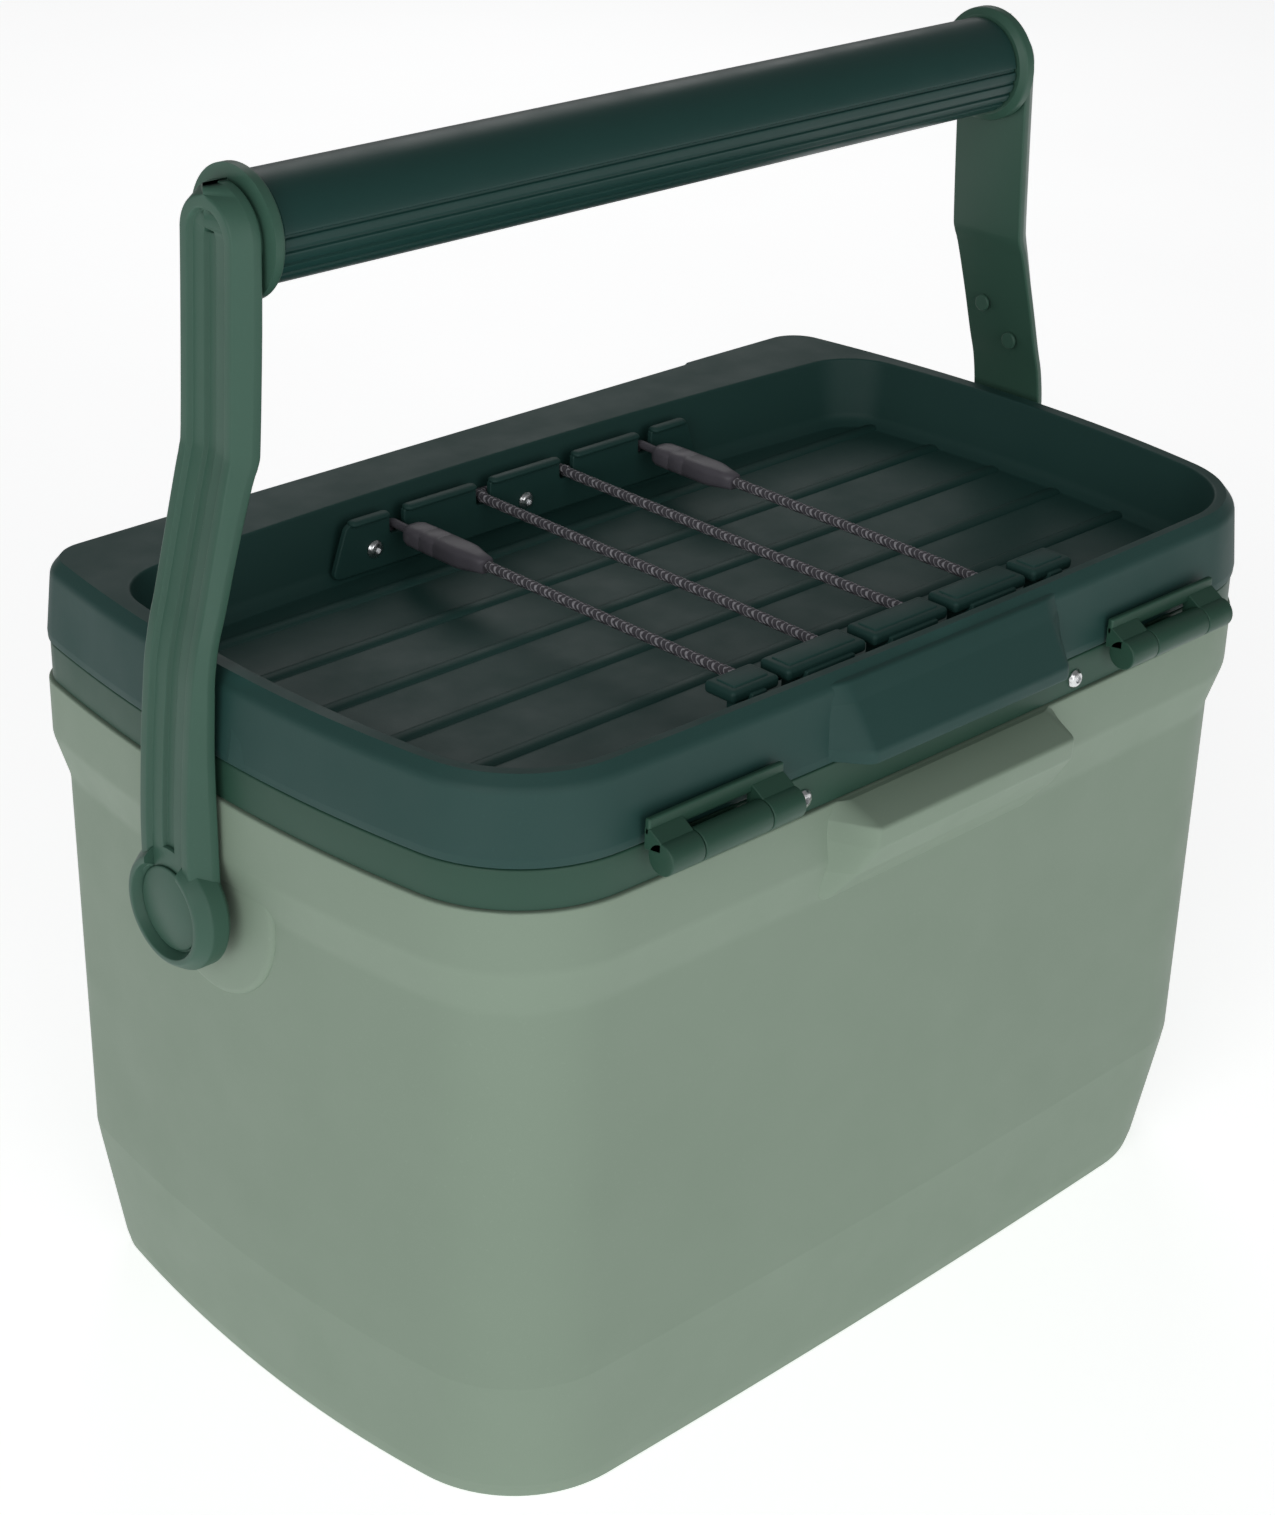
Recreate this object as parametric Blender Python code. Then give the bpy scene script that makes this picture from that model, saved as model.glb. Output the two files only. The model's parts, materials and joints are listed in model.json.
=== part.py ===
"""Hard-walled picnic cool box with a swing handle, tray lid and bungee tie-down."""
import math

import bmesh
import bpy
from mathutils import Matrix, Vector

for old in list(bpy.data.objects):
    bpy.data.objects.remove(old, do_unlink=True)

# Driving dimensions, metres. +X is along the length, +Y is the hinge side, +Z is up.
HALF_LENGTH = 0.208
HALF_DEPTH = 0.132
REAR_CORNER_R = 0.0503
FRONT_CORNER_R = 0.021
LEAST_CORNER_R = 0.012
SIDE_BOW = math.radians(9.4)
REAR_BOW = math.radians(1.5)
FRONT_BOW = math.radians(0.6)
BODY_TOP = 0.2443
COLLAR_BASE = 0.2447
COLLAR_TOP = 0.2588
LID_BASE = 0.2593
LID_TOP = 0.2893
TRAY_FLOOR = 0.2620
TRAY_REAR = 0.1225
TRAY_FRONT = 0.0972
PIVOT_Y = -0.0195
PIVOT_Z = 0.2010
PIVOT_DISC_R = 0.0226
GRIP_Z = 0.4272
GRIP_R = 0.0182
GRIP_HALF = 0.1760
HINGE_Y = 0.1394
HINGE_Z = 0.2580
KNUCKLE_R = 0.0056
PIN_R = 0.0020
PIN_HOLE_R = 0.00205
LATCH_X = 0.100
LATCH_Y = -0.1392
LATCH_Z = 0.2500
RUN_OUTER = 0.0640
RUN_INNER = 0.0215
CORD_R = 0.0021
CORD_Z = 0.2780

SAGE = (0.212, 0.275, 0.216)
COLLAR_GREEN = (0.021, 0.060, 0.045)
LID_GREEN = (0.022, 0.060, 0.053)
ARM_GREEN = (0.048, 0.105, 0.075)
GRIP_GREEN = (0.012, 0.050, 0.041)


def material(name, colour, roughness, metallic=0.0):
    """Return a Principled material, made once for each name."""
    mat = bpy.data.materials.get(name)
    if mat is None:
        mat = bpy.data.materials.new(name)
        mat.use_nodes = True
        shader = mat.node_tree.nodes["Principled BSDF"]
        shader.inputs["Base Color"].default_value = (*colour, 1.0)
        shader.inputs["Roughness"].default_value = roughness
        shader.inputs["Metallic"].default_value = metallic
        mat.diffuse_color = (*colour, 1.0)
    return mat


SAGE_MAT = material("sage_shell", SAGE, 0.5)
COLLAR_MAT = material("collar_green", COLLAR_GREEN, 0.45)
LID_MAT = material("lid_green", LID_GREEN, 0.45)
ARM_MAT = material("arm_green", ARM_GREEN, 0.45)
GRIP_MAT = material("grip_green", GRIP_GREEN, 0.5)
LINER_MAT = material("liner_white", (0.60, 0.61, 0.60), 0.4)
FOAM_MAT = material("foam", (0.72, 0.68, 0.50), 0.9)
SEAL_MAT = material("seal_rubber", (0.05, 0.05, 0.05), 0.8)
STEEL_MAT = material("steel", (0.62, 0.63, 0.64), 0.3, 1.0)
ALLOY_MAT = material("alloy", (0.70, 0.71, 0.72), 0.4, 1.0)
NYLON_MAT = material("nylon", (0.10, 0.11, 0.12), 0.5)
CORD_MAT = material("elastic_cord", (0.09, 0.085, 0.10), 0.8)
SLEEVE_MAT = material("sleeve_grey", (0.115, 0.105, 0.125), 0.5)


def finish(name, bm, mat, smooth=True):
    """Turn a bmesh into a named object with outward faces."""
    bmesh.ops.recalc_face_normals(bm, faces=bm.faces)
    if bm.calc_volume(signed=True) < 0.0:
        bmesh.ops.reverse_faces(bm, faces=bm.faces)
    mesh = bpy.data.meshes.new(name)
    bm.to_mesh(mesh)
    bm.free()
    obj = bpy.data.objects.new(name, mesh)
    bpy.context.scene.collection.objects.link(obj)
    mesh.materials.append(mat)
    if smooth:
        mesh.polygons.foreach_set("use_smooth", [True] * len(mesh.polygons))
        mesh.set_sharp_from_angle(angle=math.radians(32))
    return obj


def arc(centre, radius, start, stop, count):
    """Points on an arc, both ends included."""
    return [
        (
            centre[0] + radius * math.cos(start + (stop - start) * i / count),
            centre[1] + radius * math.sin(start + (stop - start) * i / count),
        )
        for i in range(count + 1)
    ]


def quarter(a, b, r, side_bow, long_bow):
    """Quarter of a bowed rounded rectangle, from (a, 0) round to (0, b)."""
    c1, s1 = math.cos(side_bow), math.sin(side_bow)
    c2, s2 = math.cos(long_bow), math.sin(long_bow)
    p = a - r * c1 + r * s2
    q = b - r * c2 + r * s1
    det = (1 - c1) * (1 - c2) - s1 * s2
    rs = (p * (1 - c2) - s2 * q) / det
    rl = ((1 - c1) * q - s1 * p) / det
    corner = (a - rs + (rs - r) * c1, (rs - r) * s1)
    side = arc((a - rs, 0.0), rs, 0.0, side_bow, 3)
    bend = arc(corner, r, side_bow, math.pi / 2 - long_bow, 6)
    long_side = arc((0.0, b - rl), rl, math.pi / 2 - long_bow, math.pi / 2, 3)
    return side + bend[1:] + long_side[1:]


def outline(a, rear, front, rear_r, front_r, front_bow=FRONT_BOW, side_bow=SIDE_BOW):
    """Closed plan outline, anticlockwise from the +X end."""
    back = quarter(a, rear, rear_r, side_bow, REAR_BOW)
    fore = quarter(a, front, front_r, side_bow, front_bow)
    loop = list(back)
    loop += [(-x, y) for x, y in reversed(back)][1:]
    loop += [(-x, -y) for x, y in fore][1:]
    loop += [(x, -y) for x, y in reversed(fore)][1:-1]
    return loop


def hull_ring(off, z, extra=0.0):
    """The chest's own outline moved out by off, at height z."""
    pts = outline(
        HALF_LENGTH + off, HALF_DEPTH + off, HALF_DEPTH + off,
        max(LEAST_CORNER_R, REAR_CORNER_R + off + extra), max(LEAST_CORNER_R, FRONT_CORNER_R + off + extra),
    )
    return [Vector((x, y, z)) for x, y in pts]


def tray_ring(off, z, r_rear=0.042, r_front=0.026):
    """The lid tray's outline moved out by off, at height z."""
    pts = outline(
        0.1968 + off, TRAY_REAR + off, TRAY_FRONT + off,
        r_rear + off, r_front + off, math.radians(4.0), math.radians(8.0),
    )
    return [Vector((x, y, z)) for x, y in pts]


def loft(name, rings, mat, closed=False):
    """Skin rings of equal length; cap both ends, or join the last ring to the first."""
    bm = bmesh.new()
    rows = [[bm.verts.new(p) for p in ring] for ring in rings]
    pairs = list(zip(rows, rows[1:]))
    if closed:
        pairs.append((rows[-1], rows[0]))
    else:
        bm.faces.new(rows[0])
        bm.faces.new(rows[-1])
    count = len(rows[0])
    for low, high in pairs:
        for i in range(count):
            j = (i + 1) % count
            bm.faces.new((low[i], low[j], high[j], high[i]))
    return finish(name, bm, mat)


def axis_matrix(axis):
    """Rotation that takes +Z to the named axis."""
    return Vector((0, 0, 1)).rotation_difference(Vector(axis)).to_matrix().to_4x4()


def round_rings(profile, start, axis, count):
    """Circles for each (radius, distance) pair along axis from start."""
    turn = Matrix.Translation(start) @ axis_matrix(axis)
    angles = [2 * math.pi * i / count for i in range(count)]
    return [[turn @ Vector((r * math.cos(t), r * math.sin(t), h)) for t in angles] for r, h in profile]


def turned(name, profile, start, axis, mat, count=24):
    """Round solid: (radius, distance) pairs along axis from start, capped at both ends."""
    return loft(name, round_rings(profile, start, axis, count), mat)


def tube(name, profile, start, axis, mat, count=24):
    """Round solid with a hole: the (radius, distance) pairs close on themselves."""
    return loft(name, round_rings(profile, start, axis, count), mat, closed=True)


def block(bm, low, high):
    """Add an axis-aligned box to a bmesh."""
    size = Vector(high) - Vector(low)
    mid = (Vector(high) + Vector(low)) / 2
    where = Matrix.Translation(mid) @ Matrix.Diagonal((*size, 1.0))
    bmesh.ops.create_cube(bm, size=1.0, matrix=where)


def boxes(name, spans, mat, bevel=0.0):
    """One object made of separate boxes, each given as (low, high)."""
    bm = bmesh.new()
    for low, high in spans:
        block(bm, low, high)
    if bevel:
        bmesh.ops.bevel(bm, geom=bm.edges[:], offset=bevel, segments=2, profile=0.5, affect="EDGES")
    return finish(name, bm, mat, smooth=bool(bevel))


def cylinders(name, items, mat, count=18):
    """One object made of separate plain cylinders: (start, axis, radius, length)."""
    bm = bmesh.new()
    for start, axis, radius, length in items:
        where = Matrix.Translation(start) @ axis_matrix(axis) @ Matrix.Translation((0, 0, length / 2))
        bmesh.ops.create_cone(
            bm, cap_ends=True, segments=count, radius1=radius, radius2=radius, depth=length, matrix=where,
        )
    return finish(name, bm, mat)


def prism(name, pts, low, high, axis, mat):
    """Extrude a flat outline along X or Y: pts are the other two coordinates."""
    def place(p, t):
        return Vector((t, p[0], p[1])) if axis == "X" else Vector((p[0], t, p[1]))
    return loft(name, [[place(p, low) for p in pts], [place(p, high) for p in pts]], mat)


def combine(target, tool, operation):
    """Boolean the tool into the target, hide the tool and let it ride on the target."""
    mod = target.modifiers.new(operation.lower() + "_" + tool.name, "BOOLEAN")
    mod.operation = operation
    mod.object = tool
    mod.solver = "EXACT"
    tool.hide_render = True
    tool.display_type = "WIRE"
    tool.parent = target


def joint_axis(name, location):
    """Empty on a joint's axis, for the pieces that turn on it."""
    empty = bpy.data.objects.new(name, None)
    empty.location = location
    bpy.context.scene.collection.objects.link(empty)
    bpy.context.view_layer.update()
    return empty


def hang(obj, empty):
    """Parent a piece to a joint's empty without moving it."""
    obj.parent = empty
    obj.matrix_parent_inverse = empty.matrix_world.inverted()


def mirrored(obj, name):
    """Copy of an object's mesh mirrored across X = 0."""
    bm = bmesh.new()
    bm.from_mesh(obj.data)
    bmesh.ops.scale(bm, vec=(-1, 1, 1), verts=bm.verts)
    return finish(name, bm, obj.data.materials[0])


def side_x(y, off=0.0):
    """X of the chest's bowed short end at y, for a wall moved out by off."""
    a, b, r = HALF_LENGTH + off, HALF_DEPTH + off, REAR_CORNER_R + off
    pts = quarter(a, b, r, SIDE_BOW, REAR_BOW)
    y = abs(y)
    for (x0, y0), (x1, y1) in zip(pts, pts[1:]):
        if y0 <= y <= y1:
            return x0 + (x1 - x0) * (y - y0) / (y1 - y0)
    return 0.0


# ---------------------------------------------------------------- chest
body_shell = loft("body_shell", [
    hull_ring(-0.0165, 0.0, 0.012), hull_ring(-0.0128, 0.0016, 0.011), hull_ring(-0.0110, 0.0060, 0.010),
    hull_ring(-0.0082, 0.0280, 0.006), hull_ring(-0.0064, 0.0480, 0.001), hull_ring(-0.0058, 0.0560),
    hull_ring(-0.0052, 0.2050), hull_ring(-0.0008, 0.2185), hull_ring(0.0, 0.2225),
    hull_ring(0.0, 0.2435), hull_ring(-0.0006, BODY_TOP),
    hull_ring(-0.0034, BODY_TOP), hull_ring(-0.0034, 0.2235), hull_ring(-0.0084, 0.2060),
    hull_ring(-0.0090, 0.0560), hull_ring(-0.0114, 0.0280, 0.006), hull_ring(-0.0142, 0.0060, 0.010),
    hull_ring(-0.0165, 0.0045, 0.012),
], SAGE_MAT)

LEDGE_FACE = [
    (0.1290, 0.2441), (0.1340, 0.2443), (0.1476, 0.2392), (0.1482, 0.2350), (0.1470, 0.2305),
    (0.1400, 0.2180), (0.1280, 0.2050), (0.1252, 0.2050), (0.1292, 0.2215),
]
LEDGE_END = [
    (0.1290, 0.2441), (0.1296, 0.2443), (0.1310, 0.2392), (0.1312, 0.2350), (0.1310, 0.2305),
    (0.1296, 0.2180), (0.1262, 0.2050), (0.1252, 0.2050), (0.1280, 0.2215),
]
ledge_rings = []
for x, face in ((-0.0620, LEDGE_END), (-0.0510, LEDGE_FACE), (0.0510, LEDGE_FACE), (0.0620, LEDGE_END)):
    ledge_rings.append([Vector((x, y, z)) for y, z in face])
rear_ledge = loft("cut_rear_ledge", ledge_rings, SAGE_MAT)
combine(body_shell, rear_ledge, "UNION")

PAD_R = 0.0365
PAD_ANGLES = [math.radians(-188 + 196 * i / 12) for i in range(13)]
PAD_RIM = [(PAD_R * math.cos(t), PAD_R * math.sin(t)) for t in PAD_ANGLES]
PAD_RIM += [(0.0375, 0.0080), (-0.0375, 0.0080)]
for side, tag in ((1, "left"), (-1, "right")):
    rings = []
    for scale, lift in ((1.0, -0.0062), (1.0, -0.0050), (0.93, -0.0036), (0.5, -0.0034)):
        ring = []
        for dy, dz in PAD_RIM:
            y = PIVOT_Y + dy * scale
            ring.append(Vector((side * (side_x(y) + lift), y, PIVOT_Z + dz * scale)))
        rings.append(ring)
    pad = loft("cut_pivot_pad_" + tag, rings, SAGE_MAT)
    combine(body_shell, pad, "UNION")
stud_holes = cylinders("cut_stud_holes", [
    ((0.190, PIVOT_Y, PIVOT_Z), (1, 0, 0), 0.0062, 0.03),
    ((-0.190, PIVOT_Y, PIVOT_Z), (-1, 0, 0), 0.0062, 0.03),
], SAGE_MAT)
combine(body_shell, stud_holes, "DIFFERENCE")

body_foam = loft("body_foam", [
    hull_ring(-0.0168, 0.0048, 0.012), hull_ring(-0.0146, 0.0063, 0.010), hull_ring(-0.0118, 0.0282, 0.006),
    hull_ring(-0.0094, 0.0562), hull_ring(-0.0088, 0.2062), hull_ring(-0.0038, 0.2237),
    hull_ring(-0.0038, 0.2412), hull_ring(-0.0287, 0.2412), hull_ring(-0.0287, 0.2200),
    hull_ring(-0.0329, 0.0308), hull_ring(-0.0345, 0.0272),
], FOAM_MAT)
foam_pockets = cylinders("cut_foam_pockets", [
    ((0.184, PIVOT_Y, PIVOT_Z), (1, 0, 0), 0.0090, 0.03),
    ((-0.184, PIVOT_Y, PIVOT_Z), (-1, 0, 0), 0.0090, 0.03),
], FOAM_MAT)
combine(body_foam, foam_pockets, "DIFFERENCE")

inner_liner = loft("inner_liner", [
    hull_ring(-0.0348, 0.0276), hull_ring(-0.0332, 0.0310), hull_ring(-0.0290, 0.2200),
    hull_ring(-0.0290, 0.2416), hull_ring(-0.0120, 0.2416), hull_ring(-0.0120, 0.2440),
    hull_ring(-0.0308, 0.2440), hull_ring(-0.0312, 0.2200), hull_ring(-0.0354, 0.0340),
    hull_ring(-0.0376, 0.0300),
], LINER_MAT)

# ---------------------------------------------------------------- collar
rim_collar = loft("rim_collar", [
    hull_ring(-0.0014, COLLAR_BASE), hull_ring(-0.0014, 0.2580), hull_ring(-0.0022, COLLAR_TOP),
    hull_ring(-0.0068, COLLAR_TOP), hull_ring(-0.0074, 0.2530), hull_ring(-0.0298, 0.2530),
    hull_ring(-0.0306, 0.2520), hull_ring(-0.0306, COLLAR_BASE),
], COLLAR_MAT, closed=True)

for side, tag in ((1, "left"), (-1, "right")):
    start = (side * 0.1006, HINGE_Y, HINGE_Z)
    knuckle = cylinders("cut_collar_knuckle_" + tag, [(start, (side, 0, 0), KNUCKLE_R, 0.0302)], COLLAR_MAT)
    low_x, high_x = sorted((side * 0.1010, side * 0.1304))
    web = boxes("cut_collar_web_" + tag, [((low_x, 0.1262, 0.2466), (high_x, 0.1394, 0.2526))], COLLAR_MAT)
    combine(rim_collar, web, "UNION")
    combine(rim_collar, knuckle, "UNION")

EAR = [
    (-0.1235, 0.2462), (-0.1392, 0.2462), (-0.1425, 0.2478), (-0.1436, 0.2502), (-0.1428, 0.2526),
    (-0.1404, 0.2544), (-0.1372, 0.2542), (-0.1342, 0.2520), (-0.1235, 0.2500),
]
for side, tag in ((1, "left"), (-1, "right")):
    for k, (low_x, high_x) in enumerate(((0.0716, 0.0762), (0.1238, 0.1284))):
        near, far = sorted((side * low_x, side * high_x))
        ear = prism("cut_latch_ear_%s_%d" % (tag, k), EAR, near, far, "X", COLLAR_MAT)
        combine(rim_collar, ear, "UNION")

bores = []
for side in (1, -1):
    bores.append(((side * 0.084, HINGE_Y, HINGE_Z), (side, 0, 0), PIN_HOLE_R, 0.065))
    bores.append(((side * 0.068, LATCH_Y, LATCH_Z), (side, 0, 0), 0.00165, 0.065))
    bores.append(((side * 0.0711, 0.1220, 0.2500), (0, 1, 0), 0.0016, 0.012))
    bores.append(((side * 0.0560, -0.1220, 0.2500), (0, -1, 0), 0.0016, 0.012))
collar_bores = cylinders("cut_collar_bores", bores, COLLAR_MAT, 20)
combine(rim_collar, collar_bores, "DIFFERENCE")


def button_screw(name, head_at, out):
    """Button-head screw: head_at is the centre of its seat, out points away from the part."""
    start = Vector(head_at) - Vector(out) * 0.0062
    profile = [
        (0.0013, 0.0), (0.0013, 0.0063), (0.0033, 0.0063), (0.0033, 0.0069), (0.0029, 0.0075),
        (0.0021, 0.0079), (0.0012, 0.0080), (0.0012, 0.0071),
    ]
    return turned(name, profile, start, out, STEEL_MAT, 12)


REAR_FACE = HALF_DEPTH - 0.0014
button_screw("collar_screw_rear_left", (0.0711, REAR_FACE - 0.0002, 0.2500), (0, 1, 0))
button_screw("collar_screw_rear_right", (-0.0711, REAR_FACE - 0.0002, 0.2500), (0, 1, 0))
button_screw("collar_screw_front_left", (0.0560, -REAR_FACE - 0.0002, 0.2500), (0, -1, 0))
button_screw("collar_screw_front_right", (-0.0560, -REAR_FACE - 0.0002, 0.2500), (0, -1, 0))

# ---------------------------------------------------------------- lid
lid_shell = loft("lid_shell", [
    hull_ring(-0.0016, LID_BASE), hull_ring(-0.0004, 0.2600), hull_ring(-0.0006, 0.2625),
    hull_ring(-0.0024, 0.2825), hull_ring(-0.0032, 0.2862), hull_ring(-0.0046, 0.2884),
    hull_ring(-0.0066, LID_TOP), tray_ring(0.0010, LID_TOP), tray_ring(0.0, 0.2888),
    tray_ring(-0.0010, 0.2875), tray_ring(-0.0050, 0.2660), tray_ring(-0.0062, 0.2635),
    tray_ring(-0.0088, TRAY_FLOOR),
], LID_MAT)

LIP_FACE = [
    (0.1250, 0.2870), (0.1290, 0.2860), (0.1330, 0.2800), (0.1400, 0.2680), (0.1428, 0.2640),
    (0.1432, 0.2615), (0.1415, 0.2603), (0.1250, 0.2603),
]
LIP_END = [
    (0.1250, 0.2870), (0.1270, 0.2860), (0.1280, 0.2800), (0.1290, 0.2680), (0.1294, 0.2640),
    (0.1294, 0.2615), (0.1290, 0.2603), (0.1250, 0.2603),
]
lip_rings = []
for x, face in ((-0.0640, LIP_END), (-0.0500, LIP_FACE), (0.0500, LIP_FACE), (0.0640, LIP_END)):
    lip_rings.append([Vector((x, y, z)) for y, z in face])
rear_lip = loft("cut_rear_lip", lip_rings, LID_MAT)
combine(lid_shell, rear_lip, "UNION")

floor_ribs = boxes("cut_floor_ribs", [
    ((-0.1900, y - 0.0026, 0.2606), (0.1900, y + 0.0026, 0.2634))
    for y in (-0.0700, -0.0375, -0.0050, 0.0275, 0.0600)
], LID_MAT)
combine(lid_shell, floor_ribs, "UNION")

for side, tag in ((1, "left"), (-1, "right")):
    for k, (y0, y1, y2) in enumerate(((-0.0410, -0.0430, -0.0560), (0.0020, 0.0040, 0.0230))):
        base = side_x((y1 + y2) / 2) - 0.0045
        ear = [
            Vector((side * base, y2, 0.2603)), Vector((side * base, y0, 0.2603)),
            Vector((side * 0.2086, y0, 0.2603)), Vector((side * 0.2084, y1, 0.2603)),
        ]
        top = [
            Vector((side * base, y2, 0.2700)), Vector((side * base, y0, 0.2830)),
            Vector((side * (base + 0.0012), y0, 0.2830)), Vector((side * (base + 0.0010), y1, 0.2820)),
        ]
        bump = loft("cut_lid_ear_%s_%d" % (tag, k), [ear, top], LID_MAT)
        combine(lid_shell, bump, "UNION")

front_pocket = boxes("cut_front_pocket", [((-0.150, -0.1230, 0.2500), (0.150, -0.1010, 0.2850))], LID_MAT)
combine(lid_shell, front_pocket, "DIFFERENCE")
front_scoop = boxes("cut_front_scoop", [((-0.126, -0.1400, 0.2878), (0.126, -0.1235, 0.2950))], LID_MAT)
combine(lid_shell, front_scoop, "DIFFERENCE")
plate_bores = cylinders("cut_plate_bores", [
    ((x, -0.1000, 0.2715), (0, 1, 0), 0.0016, 0.02) for x in (-0.0750, 0.0, 0.0750)
], LID_MAT)
combine(lid_shell, plate_bores, "DIFFERENCE")

lid_liner = loft("lid_liner", [
    hull_ring(-0.0376, 0.2366), hull_ring(-0.0350, 0.2385), hull_ring(-0.0330, 0.2570),
    hull_ring(-0.0082, 0.2574), hull_ring(-0.0082, 0.2590), hull_ring(-0.0350, 0.2590),
    hull_ring(-0.0368, 0.2400), hull_ring(-0.0380, 0.2388),
], LINER_MAT)
lid_foam = loft("lid_foam", [hull_ring(-0.0384, 0.2391), hull_ring(-0.0356, 0.2588)], FOAM_MAT)
lid_gasket = loft("lid_gasket", [
    hull_ring(-0.0140, 0.2533), hull_ring(-0.0140, 0.2567), hull_ring(-0.0150, 0.2569),
    hull_ring(-0.0200, 0.2569), hull_ring(-0.0210, 0.2567), hull_ring(-0.0210, 0.2533),
], SEAL_MAT, closed=True)

# ---------------------------------------------------------------- hinges
for side, tag in ((1, "left"), (-1, "right")):
    spans = ((0.0854, 0.1002), (0.1312, 0.1456))
    leaf_low, leaf_high = sorted((side * 0.0854, side * 0.1456))
    leaf = boxes("hinge_leaf_" + tag, [((leaf_low, 0.1319, 0.2640), (leaf_high, 0.1342, 0.2700))], COLLAR_MAT)
    for k, (near, far) in enumerate(spans):
        low_x, high_x = sorted((side * near, side * far))
        web = boxes(
            "cut_leaf_web_%s_%d" % (tag, k), [((low_x, 0.1319, 0.2590), (high_x, 0.1394, 0.2655))], COLLAR_MAT,
        )
        combine(leaf, web, "UNION")
        barrel = cylinders(
            "cut_leaf_barrel_%s_%d" % (tag, k), [((low_x, HINGE_Y, HINGE_Z), (1, 0, 0), KNUCKLE_R, far - near)],
            COLLAR_MAT,
        )
        combine(leaf, barrel, "UNION")
    bore = cylinders(
        "cut_leaf_bore_" + tag, [((side * 0.08, HINGE_Y, HINGE_Z), (side, 0, 0), PIN_HOLE_R, 0.07)], COLLAR_MAT, 20,
    )
    combine(leaf, bore, "DIFFERENCE")
    turned("hinge_pin_" + tag, [(0.0016, 0.0), (PIN_R, 0.0004), (PIN_R, 0.0590), (0.0016, 0.0594)],
           (side * 0.0858, HINGE_Y, HINGE_Z), (side, 0, 0), STEEL_MAT, 20)

# ---------------------------------------------------------------- front latches
LATCH_FACE = [
    (-0.1396, 0.2536), (-0.1372, 0.2546), (-0.1342, 0.2590), (-0.1336, 0.2640), (-0.1334, 0.2715),
    (-0.1352, 0.2745), (-0.1440, 0.2757), (-0.1482, 0.2745), (-0.1480, 0.2725), (-0.1420, 0.2717),
    (-0.1384, 0.2690), (-0.1384, 0.2640), (-0.1410, 0.2560),
]
for side, tag in ((1, "left"), (-1, "right")):
    x0 = side * LATCH_X
    latch = prism("front_latch_" + tag, LATCH_FACE, x0 - 0.0232, x0 + 0.0232, "X", LID_MAT)
    barrel = cylinders(
        "cut_latch_barrel_" + tag, [((x0 - 0.0232, LATCH_Y, LATCH_Z), (1, 0, 0), 0.0042, 0.0464)], LID_MAT,
    )
    combine(latch, barrel, "UNION")
    bore = cylinders(
        "cut_latch_bore_" + tag, [((x0 - 0.03, LATCH_Y, LATCH_Z), (1, 0, 0), 0.00165, 0.06)], LID_MAT, 20,
    )
    combine(latch, bore, "DIFFERENCE")
    turned("latch_pin_" + tag, [(0.0016, 0.0), (0.0016, 0.0564)],
           (x0 - 0.0282, LATCH_Y, LATCH_Z), (1, 0, 0), STEEL_MAT, 20)

# ---------------------------------------------------------------- handle
ARM_STATIONS = [
    (0.2010, 0.2096, 0.2200), (0.2230, 0.2096, 0.2200), (0.2400, 0.2096, 0.2192), (0.2620, 0.2094, 0.2174),
    (0.2800, 0.2084, 0.2154), (0.2890, 0.2078, 0.2142), (0.3000, 0.2058, 0.2118), (0.3100, 0.2026, 0.2090),
    (0.3300, 0.1968, 0.2038), (0.3500, 0.1904, 0.1986), (0.3570, 0.1874, 0.1967), (0.3640, 0.1864, 0.1957),
    (0.4000, 0.1842, 0.1937), (0.4272, 0.1832, 0.1924),
]


def arm_section(z, x_in, x_out, groove=1.0):
    """One level of the arm: a bevelled bar with a stepped channel in its outer face."""
    step = 0.0018 * groove
    deep = 0.0034 * groove
    shape = [
        (x_in, -0.0165), (x_in + 0.0012, -0.0176), (x_in + 0.0034, -0.0168), (x_out - 0.0006, -0.0138),
        (x_out, -0.0128), (x_out, -0.0098), (x_out - step, -0.0088), (x_out - step, -0.0032),
        (x_out - deep, -0.0024), (x_out - deep, 0.0024), (x_out - step, 0.0032), (x_out - step, 0.0088),
        (x_out, 0.0098), (x_out, 0.0128), (x_out - 0.0006, 0.0138), (x_in + 0.0034, 0.0168),
        (x_in + 0.0012, 0.0176), (x_in, 0.0165),
    ]
    return [Vector((x, PIVOT_Y + dy, z)) for x, dy in shape]


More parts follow.
